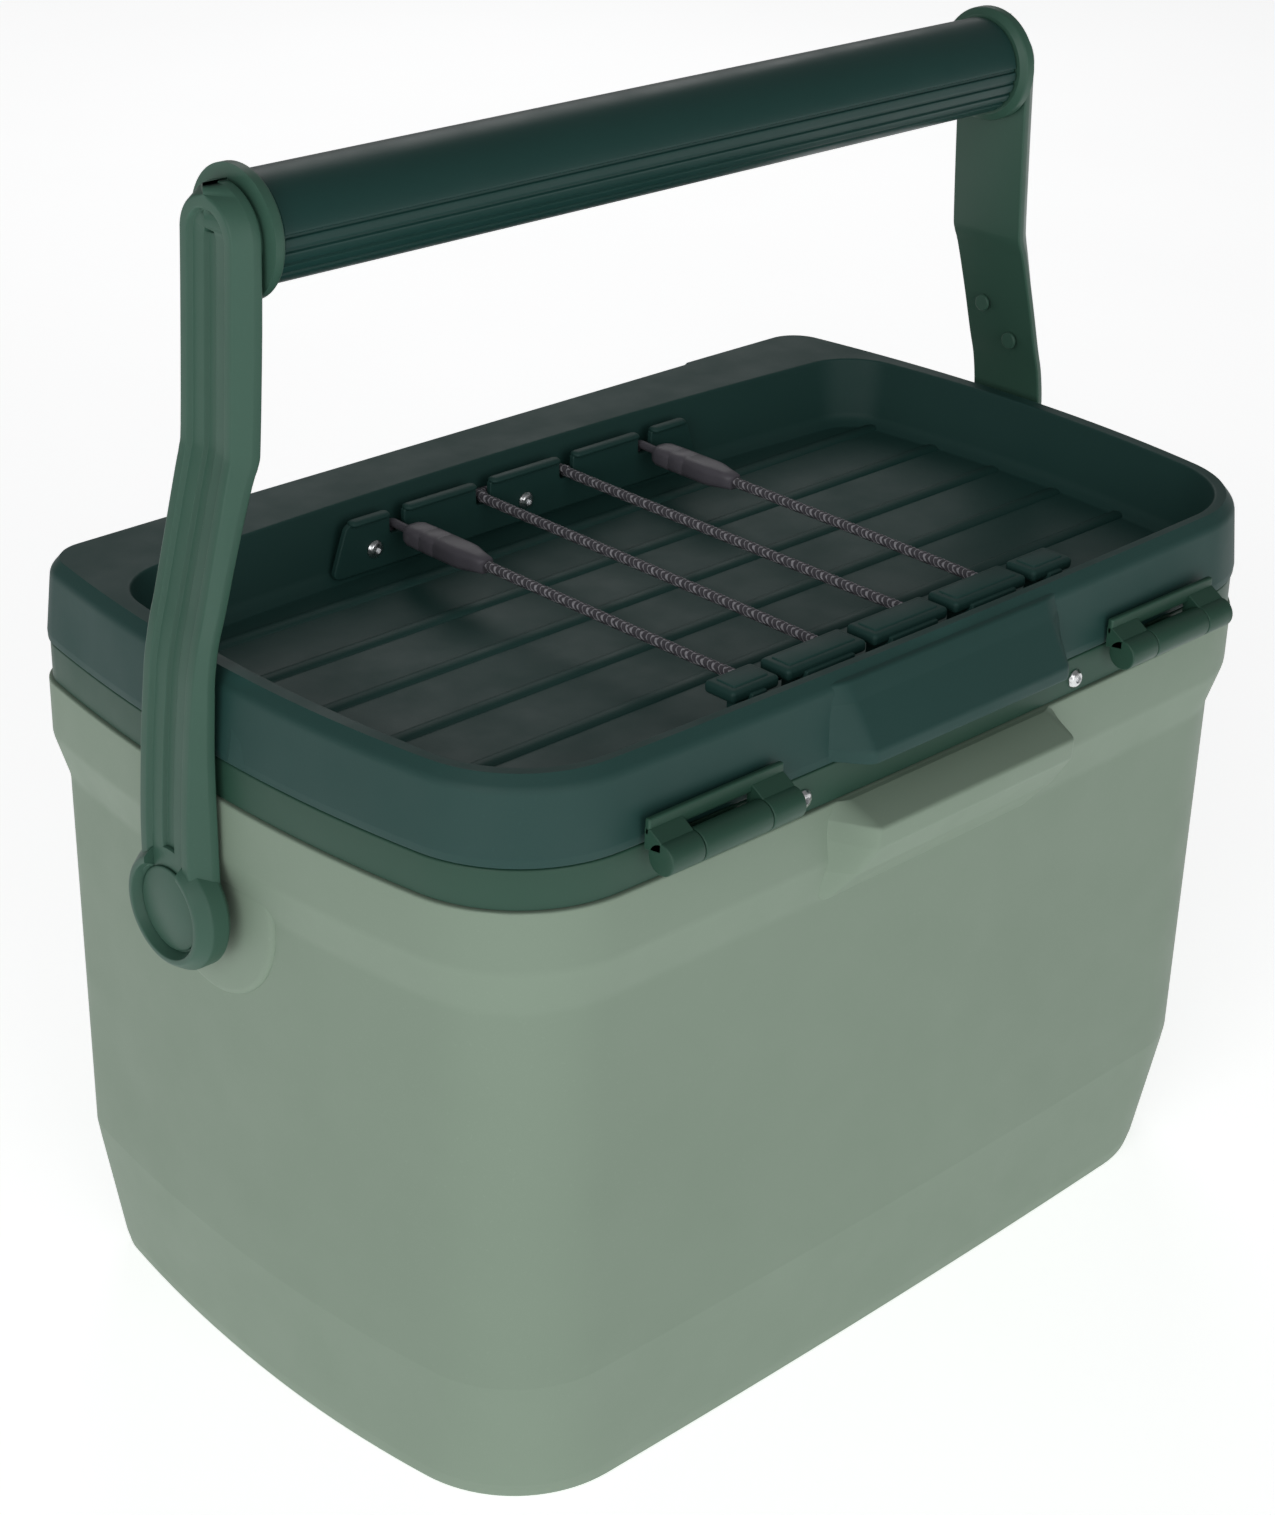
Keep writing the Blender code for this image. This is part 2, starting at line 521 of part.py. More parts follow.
arm = loft("handle_arm_left", [arm_section(*s) for s in ARM_STATIONS], ARM_MAT)
arm_right = mirrored(arm, "handle_arm_right")
for side, target, tag in ((1, arm, "left"), (-1, arm_right, "right")):
    out = (side, 0, 0)
    disc = turned("cut_arm_disc_" + tag, [
        (0.0208, 0.0), (PIVOT_DISC_R, 0.0018), (PIVOT_DISC_R, 0.0080), (0.0190, 0.0128), (0.0172, 0.0128),
        (0.0158, 0.0088),
    ], (side * 0.2094, PIVOT_Y, PIVOT_Z), out, ARM_MAT, 28)
    dish = turned("cut_arm_dish_" + tag, [(0.0155, 0.0), (0.0172, 0.0044), (0.0172, 0.0080)],
                  (side * 0.2178, PIVOT_Y, PIVOT_Z), out, ARM_MAT, 28)
    crown = turned("cut_arm_crown_" + tag, [(0.0170, 0.0), (0.0178, 0.0012), (0.0178, 0.0080), (0.0150, 0.0108)],
                   (side * 0.1812, PIVOT_Y, GRIP_Z), out, ARM_MAT, 28)
    ring = turned("cut_arm_ring_" + tag, [(0.0196, 0.0), (0.0218, 0.0022), (0.0218, 0.0052)],
                  (side * 0.1764, PIVOT_Y, GRIP_Z), out, ARM_MAT, 28)
    holes = cylinders("cut_arm_holes_" + tag, [
        ((side * 0.2040, PIVOT_Y, PIVOT_Z), out, 0.0062, 0.0200),
        ((side * 0.1700, PIVOT_Y, GRIP_Z), out, 0.0062, 0.0170),
    ], ARM_MAT, 24)
    combine(target, disc, "UNION")
    combine(target, crown, "UNION")
    combine(target, ring, "UNION")
    combine(target, dish, "DIFFERENCE")
    combine(target, holes, "DIFFERENCE")
    turned("pivot_cap_" + tag, [(0.0148, 0.0), (0.0152, 0.0003), (0.0152, 0.0008), (0.0146, 0.0013)],
           (side * 0.2181, PIVOT_Y, PIVOT_Z), out, ARM_MAT, 20)
    turned("pivot_stud_" + tag, [
        (0.0080, 0.0), (0.0080, 0.0024), (0.0060, 0.0024), (0.0060, 0.0220), (0.0054, 0.0226),
    ], (side * 0.1950, PIVOT_Y, PIVOT_Z), out, STEEL_MAT, 20)
    tube("pivot_bush_" + tag, [(0.0064, 0.0), (0.0130, 0.0), (0.0130, 0.0036), (0.0064, 0.0036)],
         (side * 0.2054, PIVOT_Y, PIVOT_Z), out, NYLON_MAT, 20)

GRIP_ANGLES = [2 * math.pi * i / 96 for i in range(96)]
grip_ring = []
for t in GRIP_ANGLES:
    dip = sum(max(0.0, 1.0 - abs((math.degrees(t) - g + 180) % 360 - 180) / 3.4) for g in (-41.25, -26.25, -11.25, 3.75))
    r = GRIP_R - 0.0008 * min(1.0, dip * 1.4)
    grip_ring.append((r * math.cos(t), r * math.sin(t)))
grip_bore = [(0.0062 * math.cos(t), 0.0062 * math.sin(t)) for t in GRIP_ANGLES]
grip_rings = []
for x, ring in ((-GRIP_HALF, grip_bore), (-GRIP_HALF, grip_ring), (GRIP_HALF, grip_ring), (GRIP_HALF, grip_bore)):
    grip_rings.append([Vector((x, PIVOT_Y + y, GRIP_Z + z)) for y, z in ring])
loft("handle_grip", grip_rings, GRIP_MAT, closed=True)
turned("grip_rod", [(0.0054, 0.0), (0.0060, 0.0006), (0.0060, 0.3714), (0.0054, 0.3720)],
       (-0.1860, PIVOT_Y, GRIP_Z), (1, 0, 0), ALLOY_MAT, 24)

# ---------------------------------------------------------------- tie-down
PLATE_TOP = 0.2852
PLATE_BASE = 0.2632
plate_pts = [(-0.0950, PLATE_BASE), (0.0950, PLATE_BASE), (0.0880, 0.2832), (0.0860, PLATE_TOP)]
for x in (RUN_OUTER, RUN_INNER, -RUN_INNER, -RUN_OUTER):
    plate_pts += [(x + 0.0034, PLATE_TOP), (x + 0.0034, 0.2758), (x + 0.0018, 0.2746)]
    plate_pts += [(x - 0.0018, 0.2746), (x - 0.0034, 0.2758), (x - 0.0034, PLATE_TOP)]
plate_pts += [(-0.0860, PLATE_TOP), (-0.0880, 0.2832)]
cleat_plate = prism("front_cleat_plate", plate_pts, -0.0882, -0.0856, "Y", LID_MAT)
curl = boxes("cut_plate_curl", [
    ((a, -0.0870, 0.2828), (b, -0.0838, PLATE_TOP - 0.0001))
    for a, b in ((-0.0850, -0.0680), (-0.0600, -0.0255), (-0.0175, 0.0175), (0.0255, 0.0600), (0.0680, 0.0850))
], LID_MAT)
combine(cleat_plate, curl, "UNION")
cleat_bores = cylinders("cut_cleat_bores", [
    ((x, -0.1000, 0.2715), (0, 1, 0), 0.0016, 0.02) for x in (-0.0750, 0.0, 0.0750)
], LID_MAT)
combine(cleat_plate, cleat_bores, "DIFFERENCE")
for x, tag in ((0.0750, "left"), (0.0, "middle"), (-0.0750, "right")):
    turned("plate_screw_" + tag, [
        (0.0013, 0.0), (0.0013, 0.0122), (0.0033, 0.0122), (0.0033, 0.0128), (0.0029, 0.0134),
        (0.0021, 0.0138), (0.0012, 0.0139), (0.0012, 0.0130),
    ], (x, -0.0976, 0.2715), (0, 1, 0), STEEL_MAT, 12)

strip = boxes("rear_cleat_strip", [((-0.0870, 0.1120, 0.2730), (0.0870, 0.1160, 0.2790))], LID_MAT)
stems = boxes("cut_stems", [
    ((a, 0.1020, 0.2740), (b, 0.1140, 0.2850))
    for a, b in ((-0.0800, -0.0730), (-0.0540, -0.0305), (-0.0120, 0.0120), (0.0305, 0.0540), (0.0730, 0.0800))
], LID_MAT)
pads = boxes("cut_pads", [
    ((a, 0.0985, 0.2828), (b, 0.1125, 0.2872))
    for a, b in ((-0.0875, -0.0655), (-0.0615, -0.0230), (-0.0190, 0.0190), (0.0230, 0.0615), (0.0655, 0.0875))
], LID_MAT, 0.0012)
combine(strip, stems, "UNION")
combine(strip, pads, "UNION")


def smooth_path(points, steps=5):
    """Catmull-Rom points through a list of way points."""
    pts = [Vector(p) for p in points]
    pts = [pts[0] * 2 - pts[1]] + pts + [pts[-1] * 2 - pts[-2]]
    out = []
    for p0, p1, p2, p3 in zip(pts, pts[1:], pts[2:], pts[3:]):
        for i in range(steps):
            t = i / steps
            out.append(0.5 * (
                2 * p1 + (p2 - p0) * t + (2 * p0 - 5 * p1 + 4 * p2 - p3) * t * t
                + (3 * p1 - p0 - 3 * p2 + p3) * t * t * t
            ))
    out.append(pts[-2])
    return out


def sweep(name, path, radius, mat, count=8):
    """Round bar along a path, with square-cut ends."""
    tangents = []
    for i in range(len(path)):
        ahead = path[min(i + 1, len(path) - 1)] - path[max(i - 1, 0)]
        tangents.append(ahead.normalized())
    side = tangents[0].cross(Vector((0, 0, 1)))
    side = side.normalized() if side.length > 0.1 else Vector((1, 0, 0))
    rings = []
    for p, t in zip(path, tangents):
        side = (side - t * side.dot(t)).normalized()
        up = t.cross(side)
        rings.append([
            p + (side * math.cos(2 * math.pi * i / count) + up * math.sin(2 * math.pi * i / count)) * radius
            for i in range(count)
        ])
    return loft(name, rings, mat)


BEND = 0.0975
cord_pts = [
    (RUN_OUTER, -0.0345, CORD_Z), (0.0636, 0.0300, CORD_Z), (0.0630, 0.0800, CORD_Z), (0.0612, 0.0935, CORD_Z),
    (0.0540, BEND + 0.0005, CORD_Z), (0.0425, BEND + 0.0015, CORD_Z), (0.0310, BEND + 0.0005, CORD_Z),
    (0.0234, 0.0935, CORD_Z), (0.0219, 0.0800, CORD_Z), (0.0215, 0.0, CORD_Z), (0.0215, -0.0790, CORD_Z),
    (0.0215, -0.0856, CORD_Z + 0.0006), (0.0205, -0.0900, CORD_Z + 0.0002), (0.0160, -0.0911, CORD_Z - 0.0003),
    (0.0, -0.0911, CORD_Z - 0.0004),
]
cord_pts = cord_pts + [(-x, y, z) for x, y, z in reversed(cord_pts[:-1])]
sweep("bungee_cord", smooth_path(cord_pts, 3), CORD_R, CORD_MAT, 6)

for side, tag in ((1, "left"), (-1, "right")):
    rings = []
    for y, w, h, dz in (
        (-0.0350, 0.0030, 0.0028, 0.0), (-0.0362, 0.0038, 0.0034, 0.0), (-0.0420, 0.0050, 0.0040, 0.0),
        (-0.0480, 0.0058, 0.0042, 0.0), (-0.0740, 0.0058, 0.0042, 0.0), (-0.0765, 0.0050, 0.0036, 0.0),
        (-0.0775, 0.0036, 0.0028, 0.0),
    ):
        ring = []
        for i in range(16):
            t = 2 * math.pi * (i + 0.5) / 16
            cx, cz = math.cos(t), math.sin(t)
            ring.append(Vector((
                side * RUN_OUTER + w * math.copysign(abs(cx) ** 0.6, cx), y,
                CORD_Z + dz + h * math.copysign(abs(cz) ** 0.6, cz),
            )))
        rings.append(ring)
    loft("hook_sleeve_" + tag, rings, SLEEVE_MAT)
    x = side * RUN_OUTER
    sweep("bungee_hook_" + tag, smooth_path([
        (x, -0.0778, CORD_Z), (x, -0.0840, CORD_Z + 0.0004), (x, -0.0890, CORD_Z + 0.0002),
        (x, -0.0907, CORD_Z - 0.0024), (x, -0.0905, CORD_Z - 0.0056),
    ], 3), 0.0017, SLEEVE_MAT, 6)

# ---------------------------------------------------------------- what turns on what
MOVING = {
    ("lid_axis", (0.0, HINGE_Y, HINGE_Z)): [
        "lid_shell", "lid_liner", "lid_foam", "lid_gasket", "hinge_leaf_left", "hinge_leaf_right",
        "front_cleat_plate", "plate_screw_left", "plate_screw_middle", "plate_screw_right",
        "rear_cleat_strip", "bungee_cord", "bungee_hook_left", "bungee_hook_right",
        "hook_sleeve_left", "hook_sleeve_right",
    ],
    ("handle_axis", (0.0, PIVOT_Y, PIVOT_Z)): [
        "handle_arm_left", "handle_arm_right", "handle_grip", "grip_rod", "pivot_cap_left", "pivot_cap_right",
    ],
    ("latch_axis_left", (LATCH_X, LATCH_Y, LATCH_Z)): ["front_latch_left"],
    ("latch_axis_right", (-LATCH_X, LATCH_Y, LATCH_Z)): ["front_latch_right"],
}
for (axis_name, place), names in MOVING.items():
    axis_object = joint_axis(axis_name, place)
    for name in names:
        hang(bpy.data.objects[name], axis_object)
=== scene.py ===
"""Looks for a hard-walled picnic cooler with a tray lid, elastic tie-down and swing handle."""

import json
import math

import bmesh
import bpy
from mathutils import Matrix, Vector


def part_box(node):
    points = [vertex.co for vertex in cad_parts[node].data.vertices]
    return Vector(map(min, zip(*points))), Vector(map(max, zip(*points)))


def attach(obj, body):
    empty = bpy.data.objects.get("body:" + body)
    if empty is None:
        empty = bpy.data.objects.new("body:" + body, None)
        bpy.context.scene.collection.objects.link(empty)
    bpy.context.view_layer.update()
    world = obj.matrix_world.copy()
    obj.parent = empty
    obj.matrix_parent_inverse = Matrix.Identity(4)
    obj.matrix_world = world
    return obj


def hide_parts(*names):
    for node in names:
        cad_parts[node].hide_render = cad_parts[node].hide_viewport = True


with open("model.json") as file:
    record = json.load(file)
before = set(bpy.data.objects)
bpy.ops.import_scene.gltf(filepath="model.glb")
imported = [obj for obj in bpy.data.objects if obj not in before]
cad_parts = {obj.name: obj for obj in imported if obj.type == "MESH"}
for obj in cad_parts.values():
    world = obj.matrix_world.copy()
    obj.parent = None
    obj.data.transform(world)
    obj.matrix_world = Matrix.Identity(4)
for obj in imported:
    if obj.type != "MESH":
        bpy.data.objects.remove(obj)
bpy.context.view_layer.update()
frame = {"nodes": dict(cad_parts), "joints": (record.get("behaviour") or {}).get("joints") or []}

# ---------------------------------------------------------------- sizes, from the frame
JOINTS = {j["name"]: Vector(j["pos_m"]) for j in frame["joints"]}
PIVOT = JOINTS["handle_swing"]
HINGE = JOINTS["lid_hinge"]
LATCH = JOINTS["latch_left_flip"]
SHELL_LOW, SHELL_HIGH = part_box("body_shell")
LID_LOW, LID_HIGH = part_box("lid_shell")
GRIP_LOW, GRIP_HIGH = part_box("handle_grip")
SLEEVE_LOW, SLEEVE_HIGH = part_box("hook_sleeve_left")
HALF_LENGTH = SHELL_HIGH.x
HALF_DEPTH = -SHELL_LOW.y
GRIP_Z = (GRIP_LOW.z + GRIP_HIGH.z) / 2
GRIP_R = (GRIP_HIGH.z - GRIP_LOW.z) / 2
CORD_Z = (SLEEVE_LOW.z + SLEEVE_HIGH.z) / 2
RUN_OUTER = (SLEEVE_LOW.x + SLEEVE_HIGH.x) / 2
RUN_INNER = 0.0215
COLLAR_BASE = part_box("rim_collar")[0].z
COLLAR_TOP = 0.2588
BODY_TOP = SHELL_HIGH.z
LID_BASE = LID_LOW.z
LID_TOP = LID_HIGH.z
TRAY_FLOOR = 0.2620
REAR_CORNER_R = 0.0503
FRONT_CORNER_R = 0.021
LEAST_CORNER_R = 0.012
SIDE_BOW = math.radians(9.4)
REAR_BOW = math.radians(1.5)
FRONT_BOW = math.radians(0.6)
TRAY_HALF_LENGTH = 0.1968
TRAY_REAR = 0.1225
TRAY_FRONT = 0.0972
PAD_R = 0.0365
ARM_HALF_WIDTH = 0.0176
CHANNEL_HALF_WIDTH = 0.0088
LATCH_HALF_WIDTH = 0.0232
CORD_R = 0.0021
KNUCKLE_R = 0.0056

SIDES = ((1, "left"), (-1, "right"))


# ---------------------------------------------------------------- materials
def node(tree, kind, **values):
    """Add a node and set its plain properties."""
    made = tree.nodes.new(kind)
    for key, value in values.items():
        setattr(made, key, value)
    return made


def start_material(name):
    """A material with its shader, its object coordinates and a linker."""
    mat = bpy.data.materials.new(name)
    mat.use_nodes = True
    tree = mat.node_tree
    shader = tree.nodes["Principled BSDF"]
    where = node(tree, "ShaderNodeTexCoord").outputs["Object"]
    return mat, tree, shader, where


def noise(tree, where, scale, detail=3.0, rough=0.55):
    """A noise value in object space, scale in cells per metre."""
    made = node(tree, "ShaderNodeTexNoise")
    made.inputs["Scale"].default_value = scale
    made.inputs["Detail"].default_value = detail
    made.inputs["Roughness"].default_value = rough
    tree.links.new(where, made.inputs["Vector"])
    return made.outputs["Fac"]


def ranged(tree, value, low, high, start=0.3, stop=0.7):
    """Map a value from start..stop to low..high."""
    made = node(tree, "ShaderNodeMapRange")
    for key, number in (("From Min", start), ("From Max", stop), ("To Min", low), ("To Max", high)):
        made.inputs[key].default_value = number
    tree.links.new(value, made.inputs["Value"])
    return made.outputs["Result"]


def blend_colours(tree, fac, first, second):
    """Mix two colours, each a tuple or a socket, by fac."""
    made = node(tree, "ShaderNodeMix", data_type="RGBA")
    tree.links.new(fac, made.inputs["Factor"])
    for socket, colour in ((made.inputs[6], first), (made.inputs[7], second)):
        if isinstance(colour, tuple):
            socket.default_value = (*colour, 1.0)
        else:
            tree.links.new(colour, socket)
    return made.outputs[2]


def scaled(colour, k):
    """A colour made lighter or darker."""
    return tuple(min(1.0, c * k) for c in colour)


def add_bump(tree, shader, heights):
    """Chain bumps, each (height, strength, distance in metres), into the shader's normal."""
    before = None
    for height, strength, distance in heights:
        bump = node(tree, "ShaderNodeBump")
        bump.inputs["Strength"].default_value = strength
        bump.inputs["Distance"].default_value = distance
        tree.links.new(height, bump.inputs["Height"])
        if before is not None:
            tree.links.new(before, bump.inputs["Normal"])
        before = bump.outputs["Normal"]
    tree.links.new(before, shader.inputs["Normal"])


def moulded(name, colour, rough=0.45, grain=1500.0, depth=0.25, tint=0.05, edge_highlight_strength=0.35):
    """Moulded plastic: spark-eroded grain, slow colour drift, uneven gloss, and a painted highlight that makes convex
    edges paler.
    """
    mat, tree, shader, where = start_material(name)
    drift = ranged(tree, noise(tree, where, 7.0, 4.0), 0.0, 1.0)
    base = blend_colours(tree, drift, scaled(colour, 1.0 - tint), scaled(colour, 1.0 + tint))
    speck = ranged(tree, noise(tree, where, grain * 0.7, 2.0), 0.0, 1.0, 0.62, 0.80)
    base = blend_colours(tree, speck, base, scaled(colour, 1.0 + 2.4 * tint))
    # Painted highlight: sharp convex edges are painted paler, standing in for light catching them.
    edge = node(tree, "ShaderNodeNewGeometry").outputs["Pointiness"]
    painted_edge_highlight = ranged(tree, edge, 0.0, edge_highlight_strength, 0.53, 0.66)
    base = blend_colours(tree, painted_edge_highlight, base, scaled(colour, 1.5))
    tree.links.new(base, shader.inputs["Base Color"])
    gloss = ranged(tree, noise(tree, where, 38.0, 5.0), rough - 0.05, rough + 0.06)
    tree.links.new(gloss, shader.inputs["Roughness"])
    add_bump(tree, shader, (
        (noise(tree, where, grain, 2.0), depth, 0.00006),
        (noise(tree, where, 26.0, 2.0), 0.06, 0.0006),
    ))
    shader.inputs["Specular IOR Level"].default_value = 0.27
    return mat


def metal(name, colour, rough):
    """Bright metal with fine turning marks."""
    mat, tree, shader, where = start_material(name)
    drift = ranged(tree, noise(tree, where, 420.0, 3.0), 0.0, 1.0)
    base = blend_colours(tree, drift, scaled(colour, 0.88), scaled(colour, 1.06))
    tree.links.new(base, shader.inputs["Base Color"])
    tree.links.new(ranged(tree, noise(tree, where, 900.0), rough - 0.07, rough + 0.09), shader.inputs["Roughness"])
    shader.inputs["Metallic"].default_value = 1.0
    add_bump(tree, shader, ((noise(tree, where, 2600.0, 1.0), 0.15, 0.00003),))
    return mat


def braid(name, dark, light):
    """Twisted elastic: pale strands through a dark sheath, fuzzy at thread scale."""
    mat, tree, shader, where = start_material(name)
    strands = node(tree, "ShaderNodeTexWave", wave_type="BANDS", bands_direction="DIAGONAL")
    strands.inputs["Scale"].default_value = 260.0
    strands.inputs["Distortion"].default_value = 1.5
    tree.links.new(where, strands.inputs["Vector"])
    pale = ranged(tree, strands.outputs["Fac"], 0.0, 1.0, 0.72, 0.92)
    base = blend_colours(tree, pale, dark, light)
    fuzz = ranged(tree, noise(tree, where, 1900.0, 2.0), 0.0, 0.5)
    base = blend_colours(tree, fuzz, base, scaled(dark, 1.6))
    tree.links.new(base, shader.inputs["Base Color"])
    tree.links.new(ranged(tree, noise(tree, where, 700.0), 0.7, 0.9), shader.inputs["Roughness"])
    add_bump(tree, shader, (
        (strands.outputs["Fac"], 0.5, 0.0003),
        (noise(tree, where, 2400.0), 0.4, 0.0001),
    ))
    return mat


def cellular(name, colour):
    """Rigid foam with open cells, their hollows darkened with painted shade."""
    mat, tree, shader, where = start_material(name)
    cells = node(tree, "ShaderNodeTexVoronoi")
    cells.inputs["Scale"].default_value = 650.0
    tree.links.new(where, cells.inputs["Vector"])
    # Painted shade: the colour darkens towards each cell's centre, standing in for shade inside the open cells.
    painted_cell_shade = ranged(tree, cells.outputs["Distance"], 0.0, 1.0, 0.0, 0.8)
    tree.links.new(blend_colours(tree, painted_cell_shade, scaled(colour, 0.8), colour), shader.inputs["Base Color"])
    tree.links.new(ranged(tree, noise(tree, where, 300.0), 0.8, 0.95), shader.inputs["Roughness"])
    add_bump(tree, shader, ((cells.outputs["Distance"], 0.6, 0.0004),))
    return mat


SAGE = moulded("sage_moulded", (0.215, 0.284, 0.218), 0.52, 1300.0, 0.30, 0.022, 0.20)
COLLAR = moulded("collar_moulded", (0.024, 0.070, 0.047), 0.42, 1500.0, 0.18, 0.05)
LID = moulded("lid_moulded", (0.017, 0.058, 0.051), 0.54, 1250.0, 0.34, 0.05)
ARM = moulded("arm_moulded", (0.042, 0.104, 0.074), 0.42, 1500.0, 0.20, 0.04)
GRIP = moulded("grip_moulded", (0.011, 0.046, 0.040), 0.40, 1500.0, 0.20, 0.05)
LINER = moulded("liner_moulded", (0.62, 0.63, 0.62), 0.30, 900.0, 0.08, 0.02, 0.1)
NYLON = moulded("nylon_moulded", (0.10, 0.11, 0.12), 0.5)
SLEEVE = moulded("sleeve_moulded", (0.098, 0.092, 0.108), 0.45, 1100.0, 0.3, 0.06)
SEAL = moulded("seal_rubber", (0.045, 0.045, 0.047), 0.75, 1700.0, 0.4, 0.1)
STEEL = metal("fastener_steel", (0.74, 0.75, 0.76), 0.24)
ALLOY = metal("drawn_alloy", (0.70, 0.71, 0.72), 0.36)
CORD = braid("elastic_braid", (0.060, 0.056, 0.066), (0.42, 0.41, 0.44))
FOAM = cellular("rigid_foam", (0.72, 0.68, 0.50))


# ---------------------------------------------------------------- mesh helpers
def raw(name, bm, mat):
    """Turn a bmesh into a linked object with outward faces."""
    bmesh.ops.recalc_face_normals(bm, faces=bm.faces)
    if bm.calc_volume(signed=True) < 0.0:
        bmesh.ops.reverse_faces(bm, faces=bm.faces)
    mesh = bpy.data.meshes.new(name)
    bm.to_mesh(mesh)
    bm.free()
    mesh.materials.append(mat)
    obj = bpy.data.objects.new(name, mesh)
    bpy.context.scene.collection.objects.link(obj)
    return obj


def shade(obj, angle=30.0):
    """Smooth shading, with edges over the angle kept sharp."""
    obj.data.polygons.foreach_set("use_smooth", [True] * len(obj.data.polygons))
    obj.data.set_sharp_from_angle(angle=math.radians(angle))


def place(obj, body, *nodes, bevel=0.0, segments=3, angle=30.0):
    """Shade and bevel a piece, let it ride on a body and stand for CAD nodes."""
    shade(obj, angle)
    if bevel:
        mod = obj.modifiers.new("rounded", "BEVEL")
        mod.width = bevel
        mod.segments = segments
        mod.limit_method = "ANGLE"
        mod.angle_limit = math.radians(angle)
        mod.harden_normals = True
    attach(obj, body)
    if nodes:
        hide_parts(*nodes)
    return obj


def loft(name, rings, mat, closed=False):
    """Skin rings of equal length; cap both ends, or join the last ring to the first."""
    bm = bmesh.new()
    rows = [[bm.verts.new(p) for p in ring] for ring in rings]
    pairs = list(zip(rows, rows[1:]))
    if closed:
        pairs.append((rows[-1], rows[0]))
    else:
        bm.faces.new(rows[0])
        bm.faces.new(rows[-1])
    count = len(rows[0])
    for low, high in pairs:
        for i in range(count):
            j = (i + 1) % count
            bm.faces.new((low[i], low[j], high[j], high[i]))
    return raw(name, bm, mat)


def carve(obj, unions=(), cuts=()):
    """Boolean the tools into an object for good, and remove them."""
    for operation, tools in (("UNION", unions), ("DIFFERENCE", cuts)):
        for tool in tools:
            mod = obj.modifiers.new(tool.name, "BOOLEAN")
            mod.operation = operation
            mod.object = tool
            mod.solver = "EXACT"
    bpy.context.view_layer.update()
    depsgraph = bpy.context.evaluated_depsgraph_get()
    mesh = bpy.data.meshes.new_from_object(obj.evaluated_get(depsgraph))
    obj.modifiers.clear()
    obj.data = mesh
    for tool in (*unions, *cuts):
        bpy.data.objects.remove(tool, do_unlink=True)
    return obj


def arc(centre, radius, start, stop, count):
    """Points on an arc, both ends included."""
    return [
        (
            centre[0] + radius * math.cos(start + (stop - start) * i / count),
            centre[1] + radius * math.sin(start + (stop - start) * i / count),
        )
        for i in range(count + 1)
    ]


def rounded(points, closed=True, steps=5):
    """Round the corners of a 2-D outline; a point is (u, v) or (u, v, radius)."""
    out = []
    count = len(points)
    for i, point in enumerate(points):
        p = Vector(point[:2])
        radius = point[2] if len(point) > 2 else 0.0
        if radius <= 0.0 or (not closed and i in (0, count - 1)):
            out.append((p.x, p.y))
            continue
        before = Vector(points[i - 1][:2]) - p
        after = Vector(points[(i + 1) % count][:2]) - p
        half = before.angle(after) / 2
        reach = min(radius / math.tan(half), before.length * 0.48, after.length * 0.48)
        a = p + before.normalized() * reach
        b = p + after.normalized() * reach
        for k in range(steps + 1):
            t = k / steps
            q = a.lerp(p, t).lerp(p.lerp(b, t), t)
            out.append((q.x, q.y))
    return out


def quarter(a, b, r, side_bow, long_bow):
    """Quarter of a bowed rounded rectangle, from (a, 0) round to (0, b)."""
    c1, s1 = math.cos(side_bow), math.sin(side_bow)
    c2, s2 = math.cos(long_bow), math.sin(long_bow)
    p = a - r * c1 + r * s2
    q = b - r * c2 + r * s1
    det = (1 - c1) * (1 - c2) - s1 * s2
    rs = (p * (1 - c2) - s2 * q) / det
    rl = ((1 - c1) * q - s1 * p) / det
    corner = (a - rs + (rs - r) * c1, (rs - r) * s1)
    side = arc((a - rs, 0.0), rs, 0.0, side_bow, 10)
    bend = arc(corner, r, side_bow, math.pi / 2 - long_bow, 20)
    long_side = arc((0.0, b - rl), rl, math.pi / 2 - long_bow, math.pi / 2, 12)
    return side + bend[1:] + long_side[1:]


def outline(a, rear, front, rear_r, front_r, front_bow, side_bow):
    """Closed plan outline, anticlockwise from the +X end."""
    back = quarter(a, rear, rear_r, side_bow, REAR_BOW)
    fore = quarter(a, front, front_r, side_bow, front_bow)
    loop = list(back)
    loop += [(-x, y) for x, y in reversed(back)][1:]
    loop += [(-x, -y) for x, y in fore][1:]
    loop += [(x, -y) for x, y in reversed(fore)][1:-1]
    return loop


def hull_ring(off, z, extra=0.0):
    """The chest's outline moved out by off, at height z; extra softens its corners."""
    pts = outline(
        HALF_LENGTH + off, HALF_DEPTH + off, HALF_DEPTH + off,
        max(LEAST_CORNER_R, REAR_CORNER_R + off + extra), max(LEAST_CORNER_R, FRONT_CORNER_R + off + extra),
        FRONT_BOW, SIDE_BOW,
    )
    return [Vector((x, y, z)) for x, y in pts]


def tray_ring(off, z):
    """The lid tray's outline moved out by off, at height z."""
    pts = outline(TRAY_HALF_LENGTH + off, TRAY_REAR + off, TRAY_FRONT + off, 0.042 + off, 0.026 + off,
                  math.radians(4.0), math.radians(8.0))
    return [Vector((x, y, z)) for x, y in pts]


def corner_extra(z):
    """How much softer the chest's corners are towards the floor."""
    return 0.012 * max(0.0, min(1.0, (0.052 - z) / 0.052))


def hull_profile(points, steps=4):
    """Rings of the chest's outline from a rounded (off, z) profile."""
    return [hull_ring(off, z, corner_extra(z)) for off, z in rounded(points, False, steps)]


